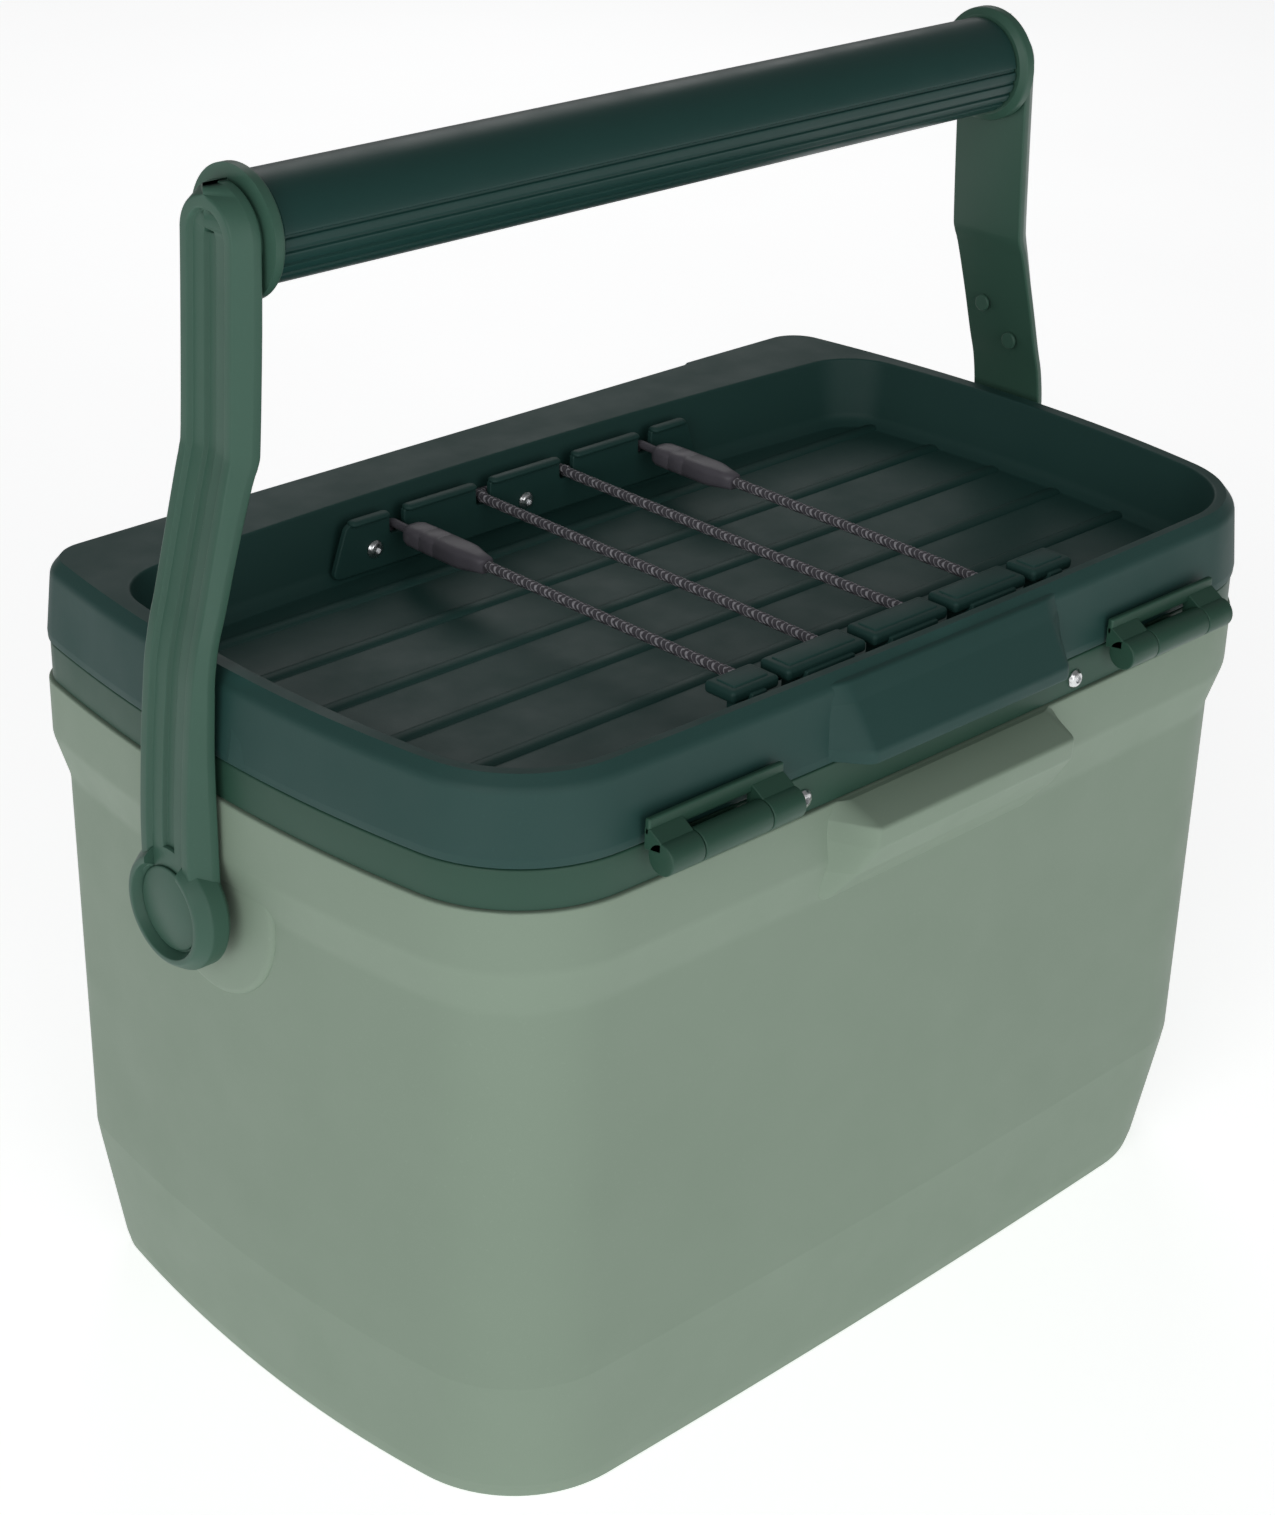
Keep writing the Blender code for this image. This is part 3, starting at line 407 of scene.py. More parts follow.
def round_rings(profile, start, axis, count=64):
    """Circles for each (radius, distance) pair along axis from start."""
    turn = Matrix.Translation(start) @ Vector((0, 0, 1)).rotation_difference(Vector(axis)).to_matrix().to_4x4()
    angles = [2 * math.pi * i / count for i in range(count)]
    return [[turn @ Vector((r * math.cos(t), r * math.sin(t), h)) for t in angles] for r, h in profile]


def turned(name, profile, start, axis, mat, count=64, steps=4):
    """Round solid with rounded profile corners."""
    return loft(name, round_rings(rounded(profile, False, steps), start, axis, count), mat)


def box(name, low, high, mat, bevel=0.0, segments=3):
    """Box with its edges rounded in the mesh."""
    low, high = Vector(low), Vector(high)
    bm = bmesh.new()
    bmesh.ops.create_cube(bm, size=1.0, matrix=Matrix.Translation((low + high) / 2)
                          @ Matrix.Diagonal((*(high - low), 1.0)))
    if bevel:
        bmesh.ops.bevel(bm, geom=bm.edges[:], offset=bevel, segments=segments, profile=0.5, affect="EDGES")
    return raw(name, bm, mat)


def slab(name, outline_xz, y_low, y_high, mat):
    """Flat plate in XZ, from y_low to y_high."""
    return loft(name, [[Vector((x, y, z)) for x, z in outline_xz] for y in (y_low, y_high)], mat)


def side_x(y):
    """X of the chest's bowed short end at y."""
    pts = quarter(HALF_LENGTH, HALF_DEPTH, REAR_CORNER_R, SIDE_BOW, REAR_BOW)
    for (x0, y0), (x1, y1) in zip(pts, pts[1:]):
        if y0 <= abs(y) <= y1:
            return x0 + (x1 - x0) * (abs(y) - y0) / (y1 - y0)
    return 0.0


def ease(t):
    """Smooth step from 0 to 1."""
    t = max(0.0, min(1.0, t))
    return t * t * (3 - 2 * t)


def swelling(name, ends, faces, half, run, mat, steps=14):
    """A bulge along X: its (y, z) section grows smoothly from ends to faces over run."""
    stops = [-half + run * i / steps for i in range(steps + 1)]
    stops += [-x for x in reversed(stops)]
    rings = []
    for x in stops:
        t = ease((half - abs(x)) / run)
        rings.append([Vector((x, y0 + (y1 - y0) * t, z0 + (z1 - z0) * t)) for (y0, z0), (y1, z1) in zip(ends, faces)])
    return loft(name, rings, mat)


def smooth_path(points, steps):
    """Catmull-Rom points through a list of way points."""
    pts = [Vector(p) for p in points]
    pts = [pts[0] * 2 - pts[1]] + pts + [pts[-1] * 2 - pts[-2]]
    out = []
    for p0, p1, p2, p3 in zip(pts, pts[1:], pts[2:], pts[3:]):
        for i in range(steps):
            t = i / steps
            out.append(0.5 * (
                2 * p1 + (p2 - p0) * t + (2 * p0 - 5 * p1 + 4 * p2 - p3) * t * t
                + (3 * p1 - p0 - 3 * p2 + p3) * t * t * t
            ))
    out.append(pts[-2])
    return out


def even_path(path, gap):
    """The same line with points about gap apart."""
    out = [path[0]]
    for a, b in zip(path, path[1:]):
        pieces = max(1, round((b - a).length / gap))
        out += [a.lerp(b, (k + 1) / pieces) for k in range(pieces)]
    return out


def sweep(name, path, radius, mat, count=16, lobes=0, pitch=0.007, depth=0.0):
    """Bar along a path; lobes twist round it once every pitch."""
    side = (path[1] - path[0]).cross(Vector((0, 0, 1))).normalized()
    rings = []
    run = 0.0
    for i, p in enumerate(path):
        t = (path[min(i + 1, len(path) - 1)] - path[max(i - 1, 0)]).normalized()
        side = (side - t * side.dot(t)).normalized()
        up = t.cross(side)
        if i:
            run += (p - path[i - 1]).length
        ring = []
        for k in range(count):
            a = 2 * math.pi * k / count
            r = radius
            if lobes:
                r -= depth * (1 - math.cos(lobes * (a - 2 * math.pi * run / pitch))) / 2
            ring.append(p + (side * math.cos(a) + up * math.sin(a)) * r)
        rings.append(ring)
    return loft(name, rings, mat)


# ---------------------------------------------------------------- chest
def build_chest():
    """Outer shell with its rear ledge and pivot pads."""
    wall = loft("shell_wall", hull_profile([
        (-0.0165, 0.0), (-0.0122, 0.0, 0.003), (-0.0108, 0.0070, 0.006), (-0.0066, 0.0490, 0.003),
        (-0.0058, 0.0560, 0.004), (-0.0052, 0.2050, 0.014), (0.0, 0.2225, 0.012), (0.0, BODY_TOP, 0.0009),
        (-0.0034, BODY_TOP, 0.0006), (-0.0034, 0.2235, 0.008), (-0.0084, 0.2060), (-0.0090, 0.0560),
        (-0.0142, 0.0060), (-0.0165, 0.0045),
    ], 6), SAGE)
    place(wall, "chest", "body_shell", angle=40)

    ledge_face = rounded([
        (0.1270, 0.2441), (0.1335, 0.2443, 0.0012), (0.1480, 0.2388, 0.0018), (0.1474, 0.2310, 0.003),
        (0.1395, 0.2185, 0.004), (0.1270, 0.2040), (0.1240, 0.2040), (0.1240, 0.2300),
    ])
    ledge_end = rounded([
        (0.1270, 0.2441), (0.1290, 0.2443, 0.0012), (0.1302, 0.2388, 0.0018), (0.1300, 0.2310, 0.003),
        (0.1280, 0.2185, 0.004), (0.1250, 0.2040), (0.1240, 0.2040), (0.1240, 0.2300),
    ])
    place(swelling("rear_ledge", ledge_end, ledge_face, 0.0620, 0.0120, SAGE), "chest", angle=45)

    for side, tag in SIDES:
        rings = []
        for size, lift in ((1.0, -0.0070), (1.0, -0.0050), (0.975, -0.0042), (0.93, -0.0036), (0.5, -0.0034)):
            ring = []
            for i in range(72):
                angle = math.radians(5 * i)
                y = PIVOT.y + PAD_R * math.cos(angle) * size
                ring.append(Vector((side * (side_x(y) + lift), y, PIVOT.z + PAD_R * math.sin(angle) * size)))
            rings.append(ring)
        place(loft("pivot_pad_" + tag, rings, SAGE), "chest", angle=50)


def build_collar():
    """Dark band under the lid, with hinge knuckles at the back and latch ears in front."""
    band = loft("collar_band", hull_profile([
        (-0.0014, COLLAR_BASE), (-0.0014, COLLAR_TOP, 0.0009), (-0.0068, COLLAR_TOP, 0.0006),
        (-0.0074, 0.2530), (-0.0298, 0.2530), (-0.0306, 0.2520), (-0.0306, COLLAR_BASE),
    ]), COLLAR, closed=True)
    place(band, "chest", "rim_collar", angle=35)
    for side, tag in SIDES:
        low_x, high_x = sorted((side * 0.1006, side * 0.1308))
        section = rounded([
            (0.1262, 0.2468), (0.1330, 0.2468, 0.002), (0.1394, 0.2524, 0.001), (0.1394, 0.2580), (0.1262, 0.2560),
        ])
        web = loft("collar_web_" + tag, [[Vector((x, y, z)) for y, z in section] for x in (low_x, high_x)], COLLAR)
        place(web, "chest", bevel=0.0005)
        knuckle = turned("collar_knuckle_" + tag, [
            (0.0020, 0.0), (KNUCKLE_R, 0.0, 0.0006), (KNUCKLE_R, 0.0302, 0.0006), (0.0020, 0.0302),
        ], (side * 0.1006, HINGE.y, HINGE.z), (side, 0, 0), COLLAR, 40)
        place(knuckle, "chest")
        ear_section = rounded([
            (-0.1235, 0.2462), (-0.1410, 0.2462, 0.004), (-0.1440, 0.2540, 0.004), (-0.1370, 0.2548, 0.003),
            (-0.1310, 0.2500),
        ])
        for k, (near, far) in enumerate(((0.0716, 0.0762), (0.1238, 0.1284))):
            xs = sorted((side * near, side * far))
            rings = [[Vector((x, y, z)) for y, z in ear_section] for x in xs]
            ear = loft("latch_ear_%s_%d" % (tag, k), rings, COLLAR)
            place(ear, "chest", bevel=0.0005)


# ---------------------------------------------------------------- lid
def build_lid():
    """Lid skirt and tray in one skin, with its rear lip, ribs and side ears."""
    skirt = [hull_ring(off, z) for off, z in rounded([
        (-0.0060, LID_BASE), (-0.0008, LID_BASE, 0.0008), (-0.0006, 0.2625, 0.004), (-0.0030, 0.2850, 0.006),
        (-0.0066, LID_TOP, 0.004),
    ], False, 6)]
    skirt.append(hull_ring(-0.0066, LID_TOP))
    well = [tray_ring(off, z) for off, z in rounded([
        (0.0012, LID_TOP), (-0.0008, LID_TOP, 0.0018), (-0.0054, 0.2645, 0.006), (-0.0100, TRAY_FLOOR, 0.003),
        (-0.0140, TRAY_FLOOR),
    ], False, 6)]
    lid = loft("lid_skin", skirt + well, LID)
    scoop = box("scoop_tool", (-0.126, -0.1400, 0.2878), (0.126, -0.1235, 0.2950), LID, 0.0012)
    carve(lid, cuts=(scoop,))
    place(lid, "lid", "lid_shell", angle=38)

    lip_face = rounded([
        (0.1240, 0.2872), (0.1296, 0.2864, 0.002), (0.1330, 0.2800, 0.010), (0.1428, 0.2650, 0.004),
        (0.1431, 0.2605, 0.0010), (0.1250, 0.2603),
    ])
    lip_end = rounded([
        (0.1240, 0.2872), (0.1270, 0.2864, 0.002), (0.1276, 0.2800, 0.010), (0.1290, 0.2650, 0.004),
        (0.1294, 0.2605, 0.0010), (0.1250, 0.2603),
    ])
    place(swelling("lid_lip", lip_end, lip_face, 0.0640, 0.0150, LID), "lid", angle=50)

    for k, y in enumerate((-0.0700, -0.0375, -0.0050, 0.0275, 0.0600)):
        section = [(y + 0.0034 * math.cos(t), TRAY_FLOOR - 0.0004 + 0.0018 * math.sin(t))
                   for t in (math.pi * i / 12 for i in range(13))]
        xs = [-0.1880, -0.1850, 0.1850, 0.1880]
        sizes = (0.35, 1.0, 1.0, 0.35)
        rings = []
        for x, size in zip(xs, sizes):
            rings.append([Vector((x, y + (a - y) * size, TRAY_FLOOR - 0.0004 + (b - TRAY_FLOOR + 0.0004) * size))
                          for a, b in section])
        place(loft("tray_rib_%d" % k, rings, LID), "lid", angle=60)

    for side, tag in SIDES:
        for k, (inner, outer) in enumerate(((-0.0410, -0.0560), (0.0020, 0.0230))):
            base = side_x((inner + outer) / 2) - 0.0045
            foot = [Vector((side * base, outer, 0.2604)), Vector((side * base, inner, 0.2604)),
                    Vector((side * 0.2085, inner, 0.2604)), Vector((side * 0.2083, (inner * 3 + outer) / 4, 0.2604))]
            peak = [Vector((side * base, outer, 0.2700)), Vector((side * base, inner, 0.2828)),
                    Vector((side * (base + 0.0012), inner, 0.2828)),
                    Vector((side * (base + 0.0010), (inner * 3 + outer) / 4, 0.2818))]
            place(loft("lid_ear_%s_%d" % (tag, k), [foot, peak], LID), "lid", bevel=0.0007)


def build_hinges():
    """Leaves with two barrels each, round the collar's knuckle."""
    for side, tag in SIDES:
        low_x, high_x = sorted((side * 0.0854, side * 0.1456))
        leaf = box("hinge_plate_" + tag, (low_x, 0.1319, 0.2640), (high_x, 0.1342, 0.2700), COLLAR, 0.0007)
        place(leaf, "lid", "hinge_leaf_" + tag)
        for k, (near, far) in enumerate(((0.0854, 0.1002), (0.1312, 0.1456))):
            xs = sorted((side * near, side * far))
            section = rounded([
                (0.1319, 0.2590), (0.1394, 0.2600), (0.1394, 0.2636, 0.001), (0.1342, 0.2668, 0.001), (0.1319, 0.2668),
            ])
            web = loft("hinge_web_%s_%d" % (tag, k), [[Vector((x, y, z)) for y, z in section] for x in xs], COLLAR)
            place(web, "lid", bevel=0.0004)
            barrel = turned("hinge_barrel_%s_%d" % (tag, k), [
                (0.00205, 0.0), (KNUCKLE_R, 0.0, 0.0006), (KNUCKLE_R, far - near, 0.0006), (0.00205, far - near),
            ], (xs[0], HINGE.y, HINGE.z), (1, 0, 0), COLLAR, 40)
            place(barrel, "lid")


def build_latches():
    """Front latches with a finger lip and three grip ridges."""
    section = rounded([
        (-0.1396, 0.2536, 0.001), (-0.1372, 0.2546), (-0.1342, 0.2590), (-0.1334, 0.2640), (-0.1334, 0.2715, 0.001),
        (-0.1352, 0.2747, 0.002), (-0.1440, 0.2755, 0.002), (-0.1481, 0.2745, 0.001), (-0.1478, 0.2725, 0.001),
        (-0.1420, 0.2715, 0.003), (-0.1384, 0.2690, 0.002), (-0.1384, 0.2640, 0.003), (-0.1410, 0.2560, 0.002),
    ])
    for side, tag in SIDES:
        x0 = side * LATCH.x
        xs = (x0 - LATCH_HALF_WIDTH, x0 + LATCH_HALF_WIDTH)
        strap = loft("latch_strap_" + tag, [[Vector((x, y, z)) for y, z in section] for x in xs], LID)
        place(strap, "latch_" + tag, "front_latch_" + tag, bevel=0.0007)
        barrel = turned("latch_barrel_" + tag, [(0.0017, 0.0), (0.0042, 0.0, 0.0005), (0.0042, 0.0464, 0.0005),
                                                (0.0017, 0.0464)], (xs[0], LATCH.y, LATCH.z), (1, 0, 0), LID, 36)
        place(barrel, "latch_" + tag)
        for k in range(3):
            z = 0.2632 + 0.0024 * k
            ridge = box("latch_ridge_%s_%d" % (tag, k), (x0 - 0.0150, -0.1393, z), (x0 + 0.0150, -0.1380, z + 0.0013),
                        LID, 0.0004)
            place(ridge, "latch_" + tag)


# ---------------------------------------------------------------- handle
ARM_STATIONS = (
    (0.2010, 0.2096, 0.2200), (0.2230, 0.2096, 0.2200), (0.2400, 0.2096, 0.2192), (0.2620, 0.2094, 0.2174),
    (0.2800, 0.2084, 0.2154), (0.2890, 0.2078, 0.2142), (0.3000, 0.2058, 0.2118), (0.3100, 0.2026, 0.2090),
    (0.3300, 0.1968, 0.2038), (0.3500, 0.1904, 0.1986), (0.3570, 0.1874, 0.1967), (0.3640, 0.1864, 0.1957),
    (0.4000, 0.1842, 0.1937), (0.4272, 0.1832, 0.1924),
)


def arm_section(side, z, x_in, x_out, rise=0.0):
    """One level of the arm: a rounded bar with a stepped channel; rise goes up into its round top."""
    step, deep = 0.0018, 0.0034
    half = [
        (x_in, ARM_HALF_WIDTH, 0.0014), (x_in + 0.0034, 0.0168, 0.001), (x_out, 0.0134, 0.0012), (x_out, 0.0098, 0.0005),
        (x_out - step, CHANNEL_HALF_WIDTH, 0.0004), (x_out - step, 0.0032, 0.0004), (x_out - deep, 0.0024, 0.0004),
    ]
    shape = half + [(x, -dy, r) for x, dy, r in reversed(half)]
    ring = []
    for x, dy in rounded(shape, True, 3):
        if abs(dy) < rise and x > (x_in + x_out) / 2:
            x = x_out
        dy = math.copysign(math.sqrt(max(0.0, dy * dy - rise * rise)), dy)
        ring.append(Vector((side * x, PIVOT.y + dy, z + rise)))
    return ring


def build_handle():
    """Two arms with pivot discs, round tops and grip collars, and the grooved grip between them."""
    for side, tag in SIDES:
        out = (side, 0, 0)
        stations = smooth_path(ARM_STATIONS, 3)
        levels = [arm_section(side, *s) for s in stations]
        for k in range(1, 23):
            levels.append(arm_section(side, *ARM_STATIONS[-1], ARM_HALF_WIDTH * math.sin(math.radians(4 * k))))
        bar = loft("arm_" + tag, levels, ARM)
        disc = turned("disc_tool", [
            (0.0208, 0.0), (0.0226, 0.0018, 0.001), (0.0226, 0.0082, 0.002), (0.0194, 0.0128, 0.0016),
            (0.0174, 0.0128, 0.0006), (0.0158, 0.0088),
        ], (side * 0.2094, PIVOT.y, PIVOT.z), out, ARM, 72)
        neck = turned("neck_tool", [(0.0150, 0.0), (0.0150, 0.0046)],
                      (side * 0.1804, PIVOT.y, GRIP_Z), out, ARM, 72)
        slot = box("slot_tool", (side * 0.2212 - 0.0030, PIVOT.y - CHANNEL_HALF_WIDTH, PIVOT.z),
                   (side * 0.2212 + 0.0030, PIVOT.y + CHANNEL_HALF_WIDTH, PIVOT.z + 0.0240), ARM)
        ring = turned("ring_tool", [(0.0192, 0.0), (0.0218, 0.0018, 0.0016), (0.0218, 0.0054)],
                      (side * 0.1764, PIVOT.y, GRIP_Z), out, ARM, 72)
        dish = turned("dish_tool", [(0.0150, 0.0), (0.0172, 0.0040, 0.003), (0.0172, 0.0085)],
                      (side * 0.2178, PIVOT.y, PIVOT.z), out, ARM, 72)
        stud = turned("stud_tool", [(0.0062, 0.0), (0.0062, 0.0200)], (side * 0.2040, PIVOT.y, PIVOT.z), out, ARM, 32)
        carve(bar, unions=(disc, neck, ring), cuts=(dish, slot, stud))
        place(bar, "handle", "handle_arm_" + tag, angle=32)
        cap = turned("dish_floor_" + tag, [(0.0144, 0.0), (0.0152, 0.0003, 0.0003), (0.0152, 0.0010, 0.0004),
                                          (0.0143, 0.0013)], (side * 0.2181, PIVOT.y, PIVOT.z), out, ARM, 64)
        place(cap, "handle", "pivot_cap_" + tag)
        for k, z in enumerate((0.3120, 0.3260)):
            mark = turned("ejector_mark_%s_%d" % (tag, k), [(0.0030, 0.0), (0.0034, 0.0003, 0.0002), (0.0034, 0.0010)],
                          (side * (0.1992 - 0.0040 * k), PIVOT.y + 0.0060 * (1 - 2 * k), z), out, ARM, 32)
            place(mark, "handle")

    rings = []
    count = 288
    for x, shrink in ((GRIP_LOW.x, 0.0008), (GRIP_LOW.x + 0.0008, 0.0), (GRIP_HIGH.x - 0.0008, 0.0),
                      (GRIP_HIGH.x, 0.0008)):
        ring = []
        for i in range(count):
            degrees = 360.0 * i / count
            gap = min(abs((degrees - g + 180) % 360 - 180) for g in (-41.25, -26.25, -11.25, 3.75))
            dip = 0.0008 * ease((2.8 - gap) / 1.4)
            t = math.radians(degrees)
            r = GRIP_R - dip - shrink
            ring.append(Vector((x, PIVOT.y + r * math.cos(t), GRIP_Z + r * math.sin(t))))
        rings.append(ring)
    place(loft("grip_sleeve", rings, GRIP), "handle", "handle_grip", angle=35)


# ---------------------------------------------------------------- tie-down
def build_cleats():
    """Front plate with notches and curled tabs, and the rear strip with five pads."""
    notches = (-RUN_OUTER, -RUN_INNER, RUN_INNER, RUN_OUTER)
    base, top = 0.2634, 0.2838
    pts = [(-0.0950, base, 0.003), (0.0950, base, 0.003), (0.0880, 0.2826, 0.003), (0.0860, top, 0.002)]
    for x in reversed(notches):
        pts += [(x + 0.0036, top, 0.0016), (x + 0.0034, 0.2756, 0.0018), (x - 0.0034, 0.2756, 0.0018),
                (x - 0.0036, top, 0.0016)]
    pts += [(-0.0860, top, 0.002), (-0.0880, 0.2826, 0.003)]
    plate = slab("cleat_plate", rounded(pts, True, 4), -0.0882, -0.0858, LID)
    place(plate, "lid", "front_cleat_plate", bevel=0.0005)
    edges = (-0.0862, *(v for x in notches for v in (x - 0.0038, x + 0.0038)), 0.0862)
    for k in range(5):
        low_x, high_x = edges[2 * k], edges[2 * k + 1]
        rings = []
        for x, size in ((low_x, 0.3), (low_x + 0.0008, 0.85), (low_x + 0.0020, 1.0), (high_x - 0.0020, 1.0),
                        (high_x - 0.0008, 0.85), (high_x, 0.3)):
            ring = []
            for i in range(24):
                t = 2 * math.pi * i / 24
                ring.append(Vector((x, -0.0864 + 0.0026 * size * math.cos(t), 0.2838 + 0.0014 * size * math.sin(t))))
            rings.append(ring)
        place(loft("cleat_curl_%d" % k, rings, LID), "lid", angle=60)

    rail = box("strip_rail", (-0.0870, 0.1120, 0.2730), (0.0870, 0.1160, 0.2790), LID, 0.0006)
    place(rail, "lid", "rear_cleat_strip")
    stems = ((-0.0800, -0.0730), (-0.0540, -0.0305), (-0.0120, 0.0120), (0.0305, 0.0540), (0.0730, 0.0800))
    pads = ((-0.0875, -0.0655), (-0.0615, -0.0230), (-0.0190, 0.0190), (0.0230, 0.0615), (0.0655, 0.0875))
    for k in range(5):
        stem = box("strip_stem_%d" % k, (stems[k][0], 0.1020, 0.2740), (stems[k][1], 0.1140, 0.2850), LID, 0.0006)
        place(stem, "lid")
        place(box("strip_pad_%d" % k, (pads[k][0], 0.0985, 0.2826), (pads[k][1], 0.1125, 0.2872), LID, 0.0017, 5),
              "lid", angle=50)
        place(box("strip_crest_%d" % k, (pads[k][0] + 0.0030, 0.1012, 0.2862), (pads[k][1] - 0.0030, 0.1098, 0.2877),
                  LID, 0.0006, 3), "lid", angle=50)


def build_cord():
    """Elastic cord along its laced route, with crimped sleeves and wire hooks at both ends."""
    bend = 0.0975
    half = [
        (RUN_OUTER, -0.0345, CORD_Z), (0.0636, 0.0300, CORD_Z), (0.0630, 0.0800, CORD_Z), (0.0612, 0.0935, CORD_Z),
        (0.0540, bend + 0.0005, CORD_Z), (0.0425, bend + 0.0015, CORD_Z), (0.0310, bend + 0.0005, CORD_Z),
        (0.0234, 0.0935, CORD_Z), (0.0219, 0.0800, CORD_Z), (RUN_INNER, 0.0, CORD_Z), (RUN_INNER, -0.0790, CORD_Z),
        (RUN_INNER, -0.0856, CORD_Z + 0.0006), (0.0205, -0.0900, CORD_Z + 0.0002), (0.0160, -0.0911, CORD_Z - 0.0003),
        (0.0, -0.0911, CORD_Z - 0.0004),
    ]
    route = half + [(-x, y, z) for x, y, z in reversed(half[:-1])]
    line = even_path(smooth_path(route, 8), 0.0006)
    cord = sweep("tie_cord", line, CORD_R, CORD, 18, lobes=3, pitch=0.0054, depth=0.0003)
    place(cord, "lid", "bungee_cord", angle=70)

    for side, tag in SIDES:
        rings = []
        for y, w, h in (
            (-0.0350, 0.0026, 0.0026), (-0.0354, 0.0032, 0.0030), (-0.0400, 0.0040, 0.0036), (-0.0450, 0.0055, 0.0041),
            (-0.0480, 0.0058, 0.0042), (-0.0584, 0.0058, 0.0042), (-0.0590, 0.0055, 0.0040), (-0.0596, 0.0058, 0.0042),
            (-0.0664, 0.0058, 0.0042), (-0.0670, 0.0055, 0.0040), (-0.0676, 0.0058, 0.0042),
            (-0.0745, 0.0056, 0.0041), (-0.0768, 0.0048, 0.0036), (-0.0775, 0.0034, 0.0028),
        ):
            ring = []
            for i in range(40):
                t = 2 * math.pi * (i + 0.5) / 40
                c, s = math.cos(t), math.sin(t)
                ring.append(Vector((side * RUN_OUTER + w * math.copysign(abs(c) ** 0.6, c), y,
                                    CORD_Z + h * math.copysign(abs(s) ** 0.6, s))))
            rings.append(ring)
        place(loft("sleeve_" + tag, rings, SLEEVE), "lid", "hook_sleeve_" + tag, angle=50)
        x = side * RUN_OUTER
        hook = smooth_path([
            (x, -0.0778, CORD_Z), (x, -0.0840, CORD_Z + 0.0004), (x, -0.0890, CORD_Z + 0.0002),
            (x, -0.0907, CORD_Z - 0.0024), (x, -0.0905, CORD_Z - 0.0056),
        ], 8)
        place(sweep("wire_hook_" + tag, hook, 0.0017, SLEEVE), "lid", "bungee_hook_" + tag, angle=60)


# ---------------------------------------------------------------- screws
def build_screws():
    """Button heads with a hexagonal socket, each on the CAD screw's own axis."""
    screws = [("collar_screw_rear_" + t, "chest", 1) for _, t in SIDES]
    screws += [("collar_screw_front_" + t, "chest", -1) for _, t in SIDES]
    screws += [("plate_screw_" + t, "lid", 1) for t in ("left", "middle", "right")]
    for name, body, out in screws:
        low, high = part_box(name)
        centre = (low + high) / 2
        tip = high.y if out > 0 else low.y
        start = Vector((centre.x, tip - out * 0.0021, centre.z))
        head = turned(name + "_head", [
            (0.0026, 0.0), (0.0036, 0.0, 0.0003), (0.0036, 0.0006, 0.0005), (0.0026, 0.0017, 0.0012), (0.0012, 0.0021),
        ], start, (0, out, 0), STEEL, 40)
        socket = loft("socket_tool", round_rings([(0.0015, 0.0009), (0.0015, 0.0030)], start, (0, out, 0), 6), STEEL)
        carve(head, cuts=(socket,))
        place(head, body, name, angle=35)


# ---------------------------------------------------------------- CAD nodes that stay as they are
CARRIED = {
    "body_foam": FOAM, "lid_foam": FOAM, "inner_liner": LINER, "lid_liner": LINER, "lid_gasket": SEAL,
    "grip_rod": ALLOY, "pivot_stud_left": STEEL, "pivot_stud_right": STEEL, "pivot_bush_left": NYLON,
    "pivot_bush_right": NYLON, "hinge_pin_left": STEEL, "hinge_pin_right": STEEL, "latch_pin_left": STEEL,
    "latch_pin_right": STEEL,
}


def carry_over():
    """Give the CAD nodes that stay their own procedural finish."""
    for name, mat in CARRIED.items():
        obj = frame["nodes"][name]
        obj.data.materials.clear()
        obj.data.materials.append(mat)


# ---------------------------------------------------------------- studio
def floor_material():
    """Pale seamless floor that is lit a little from within."""
    mat, tree, shader, where = start_material("pale_floor")
    drift = ranged(tree, noise(tree, where, 2.0), 0.0, 1.0)
    base = blend_colours(tree, drift, (0.86, 0.86, 0.86), (0.90, 0.90, 0.90))
    tree.links.new(base, shader.inputs["Base Color"])
    shader.inputs["Roughness"].default_value = 0.9
    shader.inputs["Emission Color"].default_value = (1.0, 1.0, 1.0, 1.0)
    shader.inputs["Emission Strength"].default_value = 0.66
    return mat


def area_light(name, azimuth, elevation, distance, size, power):
    """Soft square light aimed at the chest."""
    data = bpy.data.lights.new(name, "AREA")
    data.size = size
    data.energy = power
    lamp = bpy.data.objects.new(name, data)
    bpy.context.scene.collection.objects.link(lamp)
    a, e = math.radians(azimuth), math.radians(elevation)
    back = Vector((math.sin(a) * math.cos(e), -math.cos(a) * math.cos(e), math.sin(e)))
    lamp.location = Vector((0.0, 0.0, 0.2)) + back * distance
    lamp.rotation_euler = (-back).to_track_quat("-Z", "Y").to_euler()


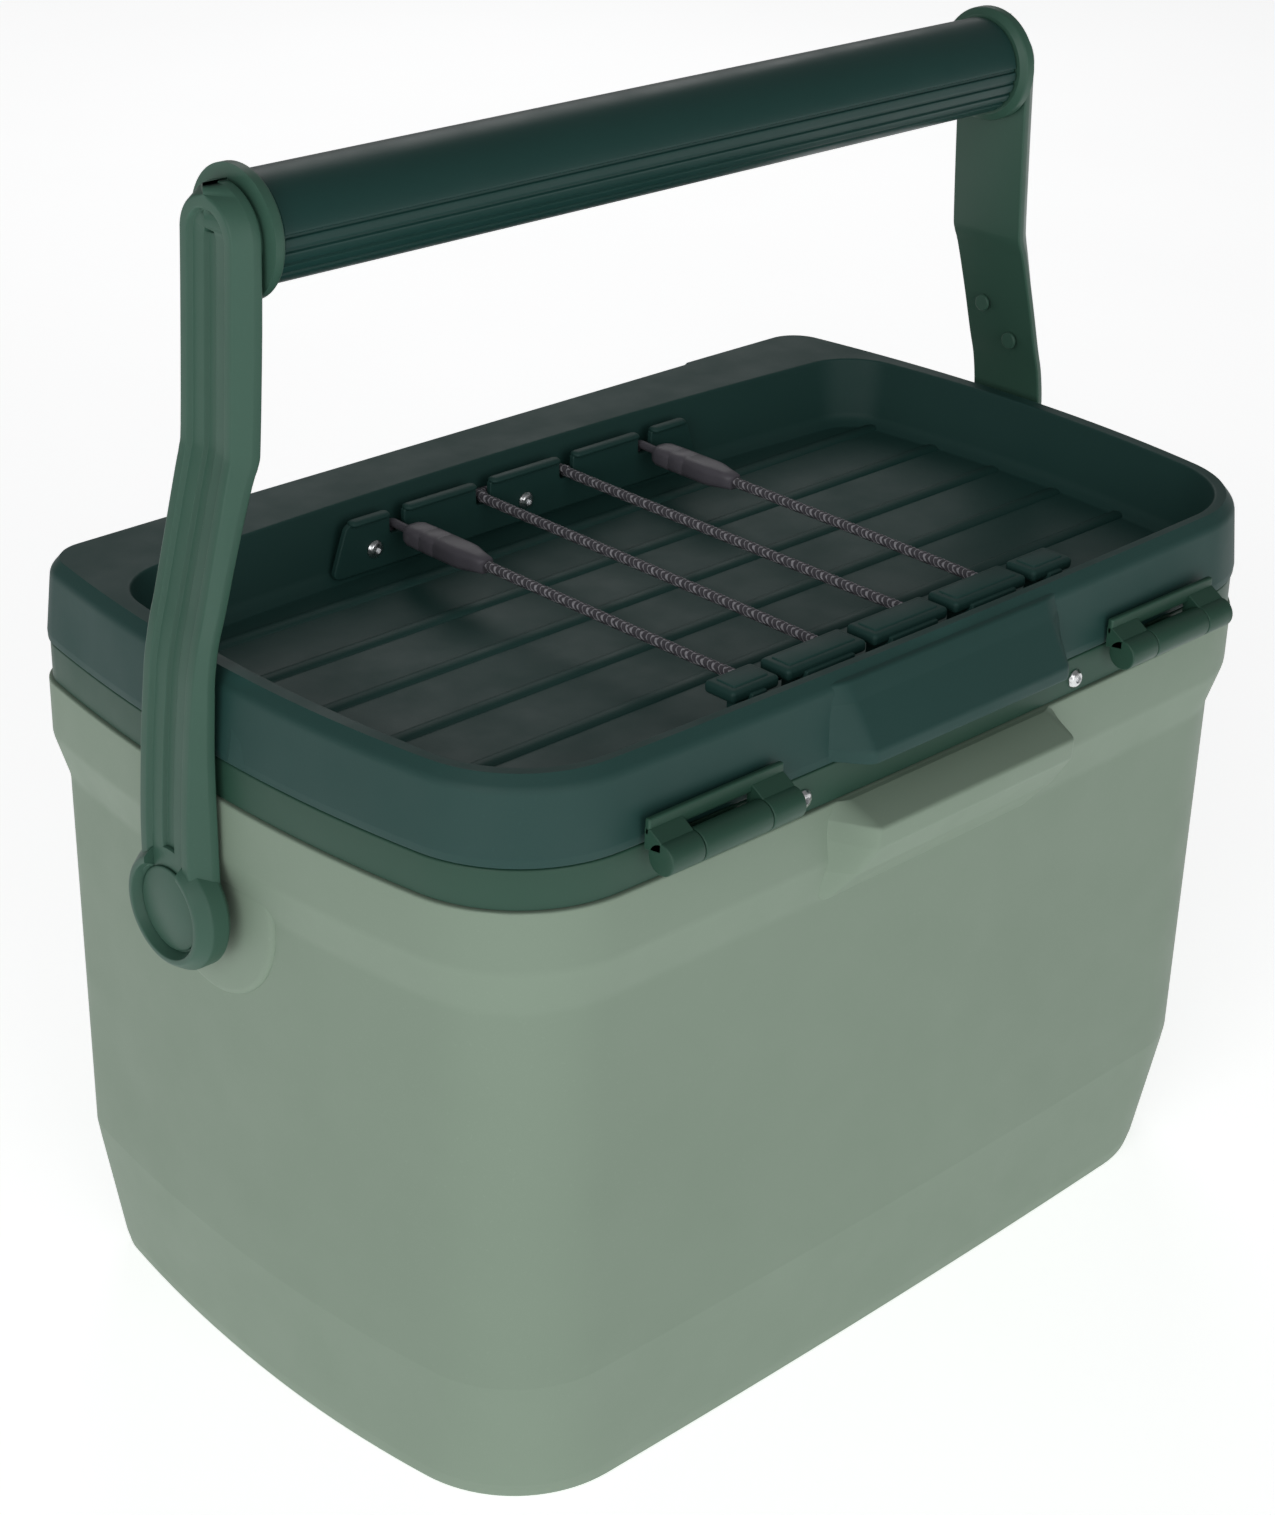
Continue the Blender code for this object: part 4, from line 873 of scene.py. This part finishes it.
def build_studio():
    """Floor, lights and world."""
    bm = bmesh.new()
    bmesh.ops.create_circle(bm, cap_ends=True, segments=96, radius=9.0)
    mesh = bpy.data.meshes.new("studio_floor")
    bm.to_mesh(mesh)
    bm.free()
    mesh.materials.append(floor_material())
    floor = bpy.data.objects.new("studio_floor", mesh)
    floor.location.z = -0.0005
    bpy.context.scene.collection.objects.link(floor)

    area_light("key", 112.0, 20.0, 2.6, 1.5, 19.0)
    area_light("fill", 165.0, 16.0, 2.6, 1.5, 14.0)
    area_light("back", 320.0, 35.0, 2.6, 1.2, 6.0)
    world = bpy.data.worlds.new("studio")
    world.use_nodes = True
    background = world.node_tree.nodes["Background"]
    background.inputs["Color"].default_value = (0.95, 0.96, 0.97, 1.0)
    background.inputs["Strength"].default_value = 0.20
    bpy.context.scene.world = world
    bpy.context.scene.view_settings.view_transform = "Standard"


CAMERA_AZIMUTH = 134.80
CAMERA_ELEVATION = 26.52
CAMERA_ROLL = 1.78
CAMERA_DISTANCE = 1.1175
CAMERA_TARGET = Vector((-0.0071, -0.0092, 0.1899))
CAMERA_LENS = 69.01
CAMERA_SHIFT = (-0.0221, -0.0050)


def build_camera():
    """Camera at the photograph's angle, with its small tilt and shift."""
    a, e = math.radians(CAMERA_AZIMUTH), math.radians(CAMERA_ELEVATION)
    back = Vector((math.sin(a) * math.cos(e), -math.cos(a) * math.cos(e), math.sin(e)))
    right = (-back).cross(Vector((0, 0, 1))).normalized()
    up = right.cross(-back)
    roll = math.radians(CAMERA_ROLL)
    across = right * math.cos(roll) + up * math.sin(roll)
    upward = up * math.cos(roll) - right * math.sin(roll)
    data = bpy.data.cameras.new("camera")
    data.lens = CAMERA_LENS
    data.shift_x, data.shift_y = CAMERA_SHIFT
    camera = bpy.data.objects.new("camera", data)
    bpy.context.scene.collection.objects.link(camera)
    turn = Matrix((across, upward, back)).transposed().to_4x4()
    camera.matrix_world = Matrix.Translation(CAMERA_TARGET + back * CAMERA_DISTANCE) @ turn
    bpy.context.scene.camera = camera


build_chest()
build_collar()
build_lid()
build_hinges()
build_latches()
build_handle()
build_cleats()
build_cord()
build_screws()
carry_over()
build_studio()
build_camera()
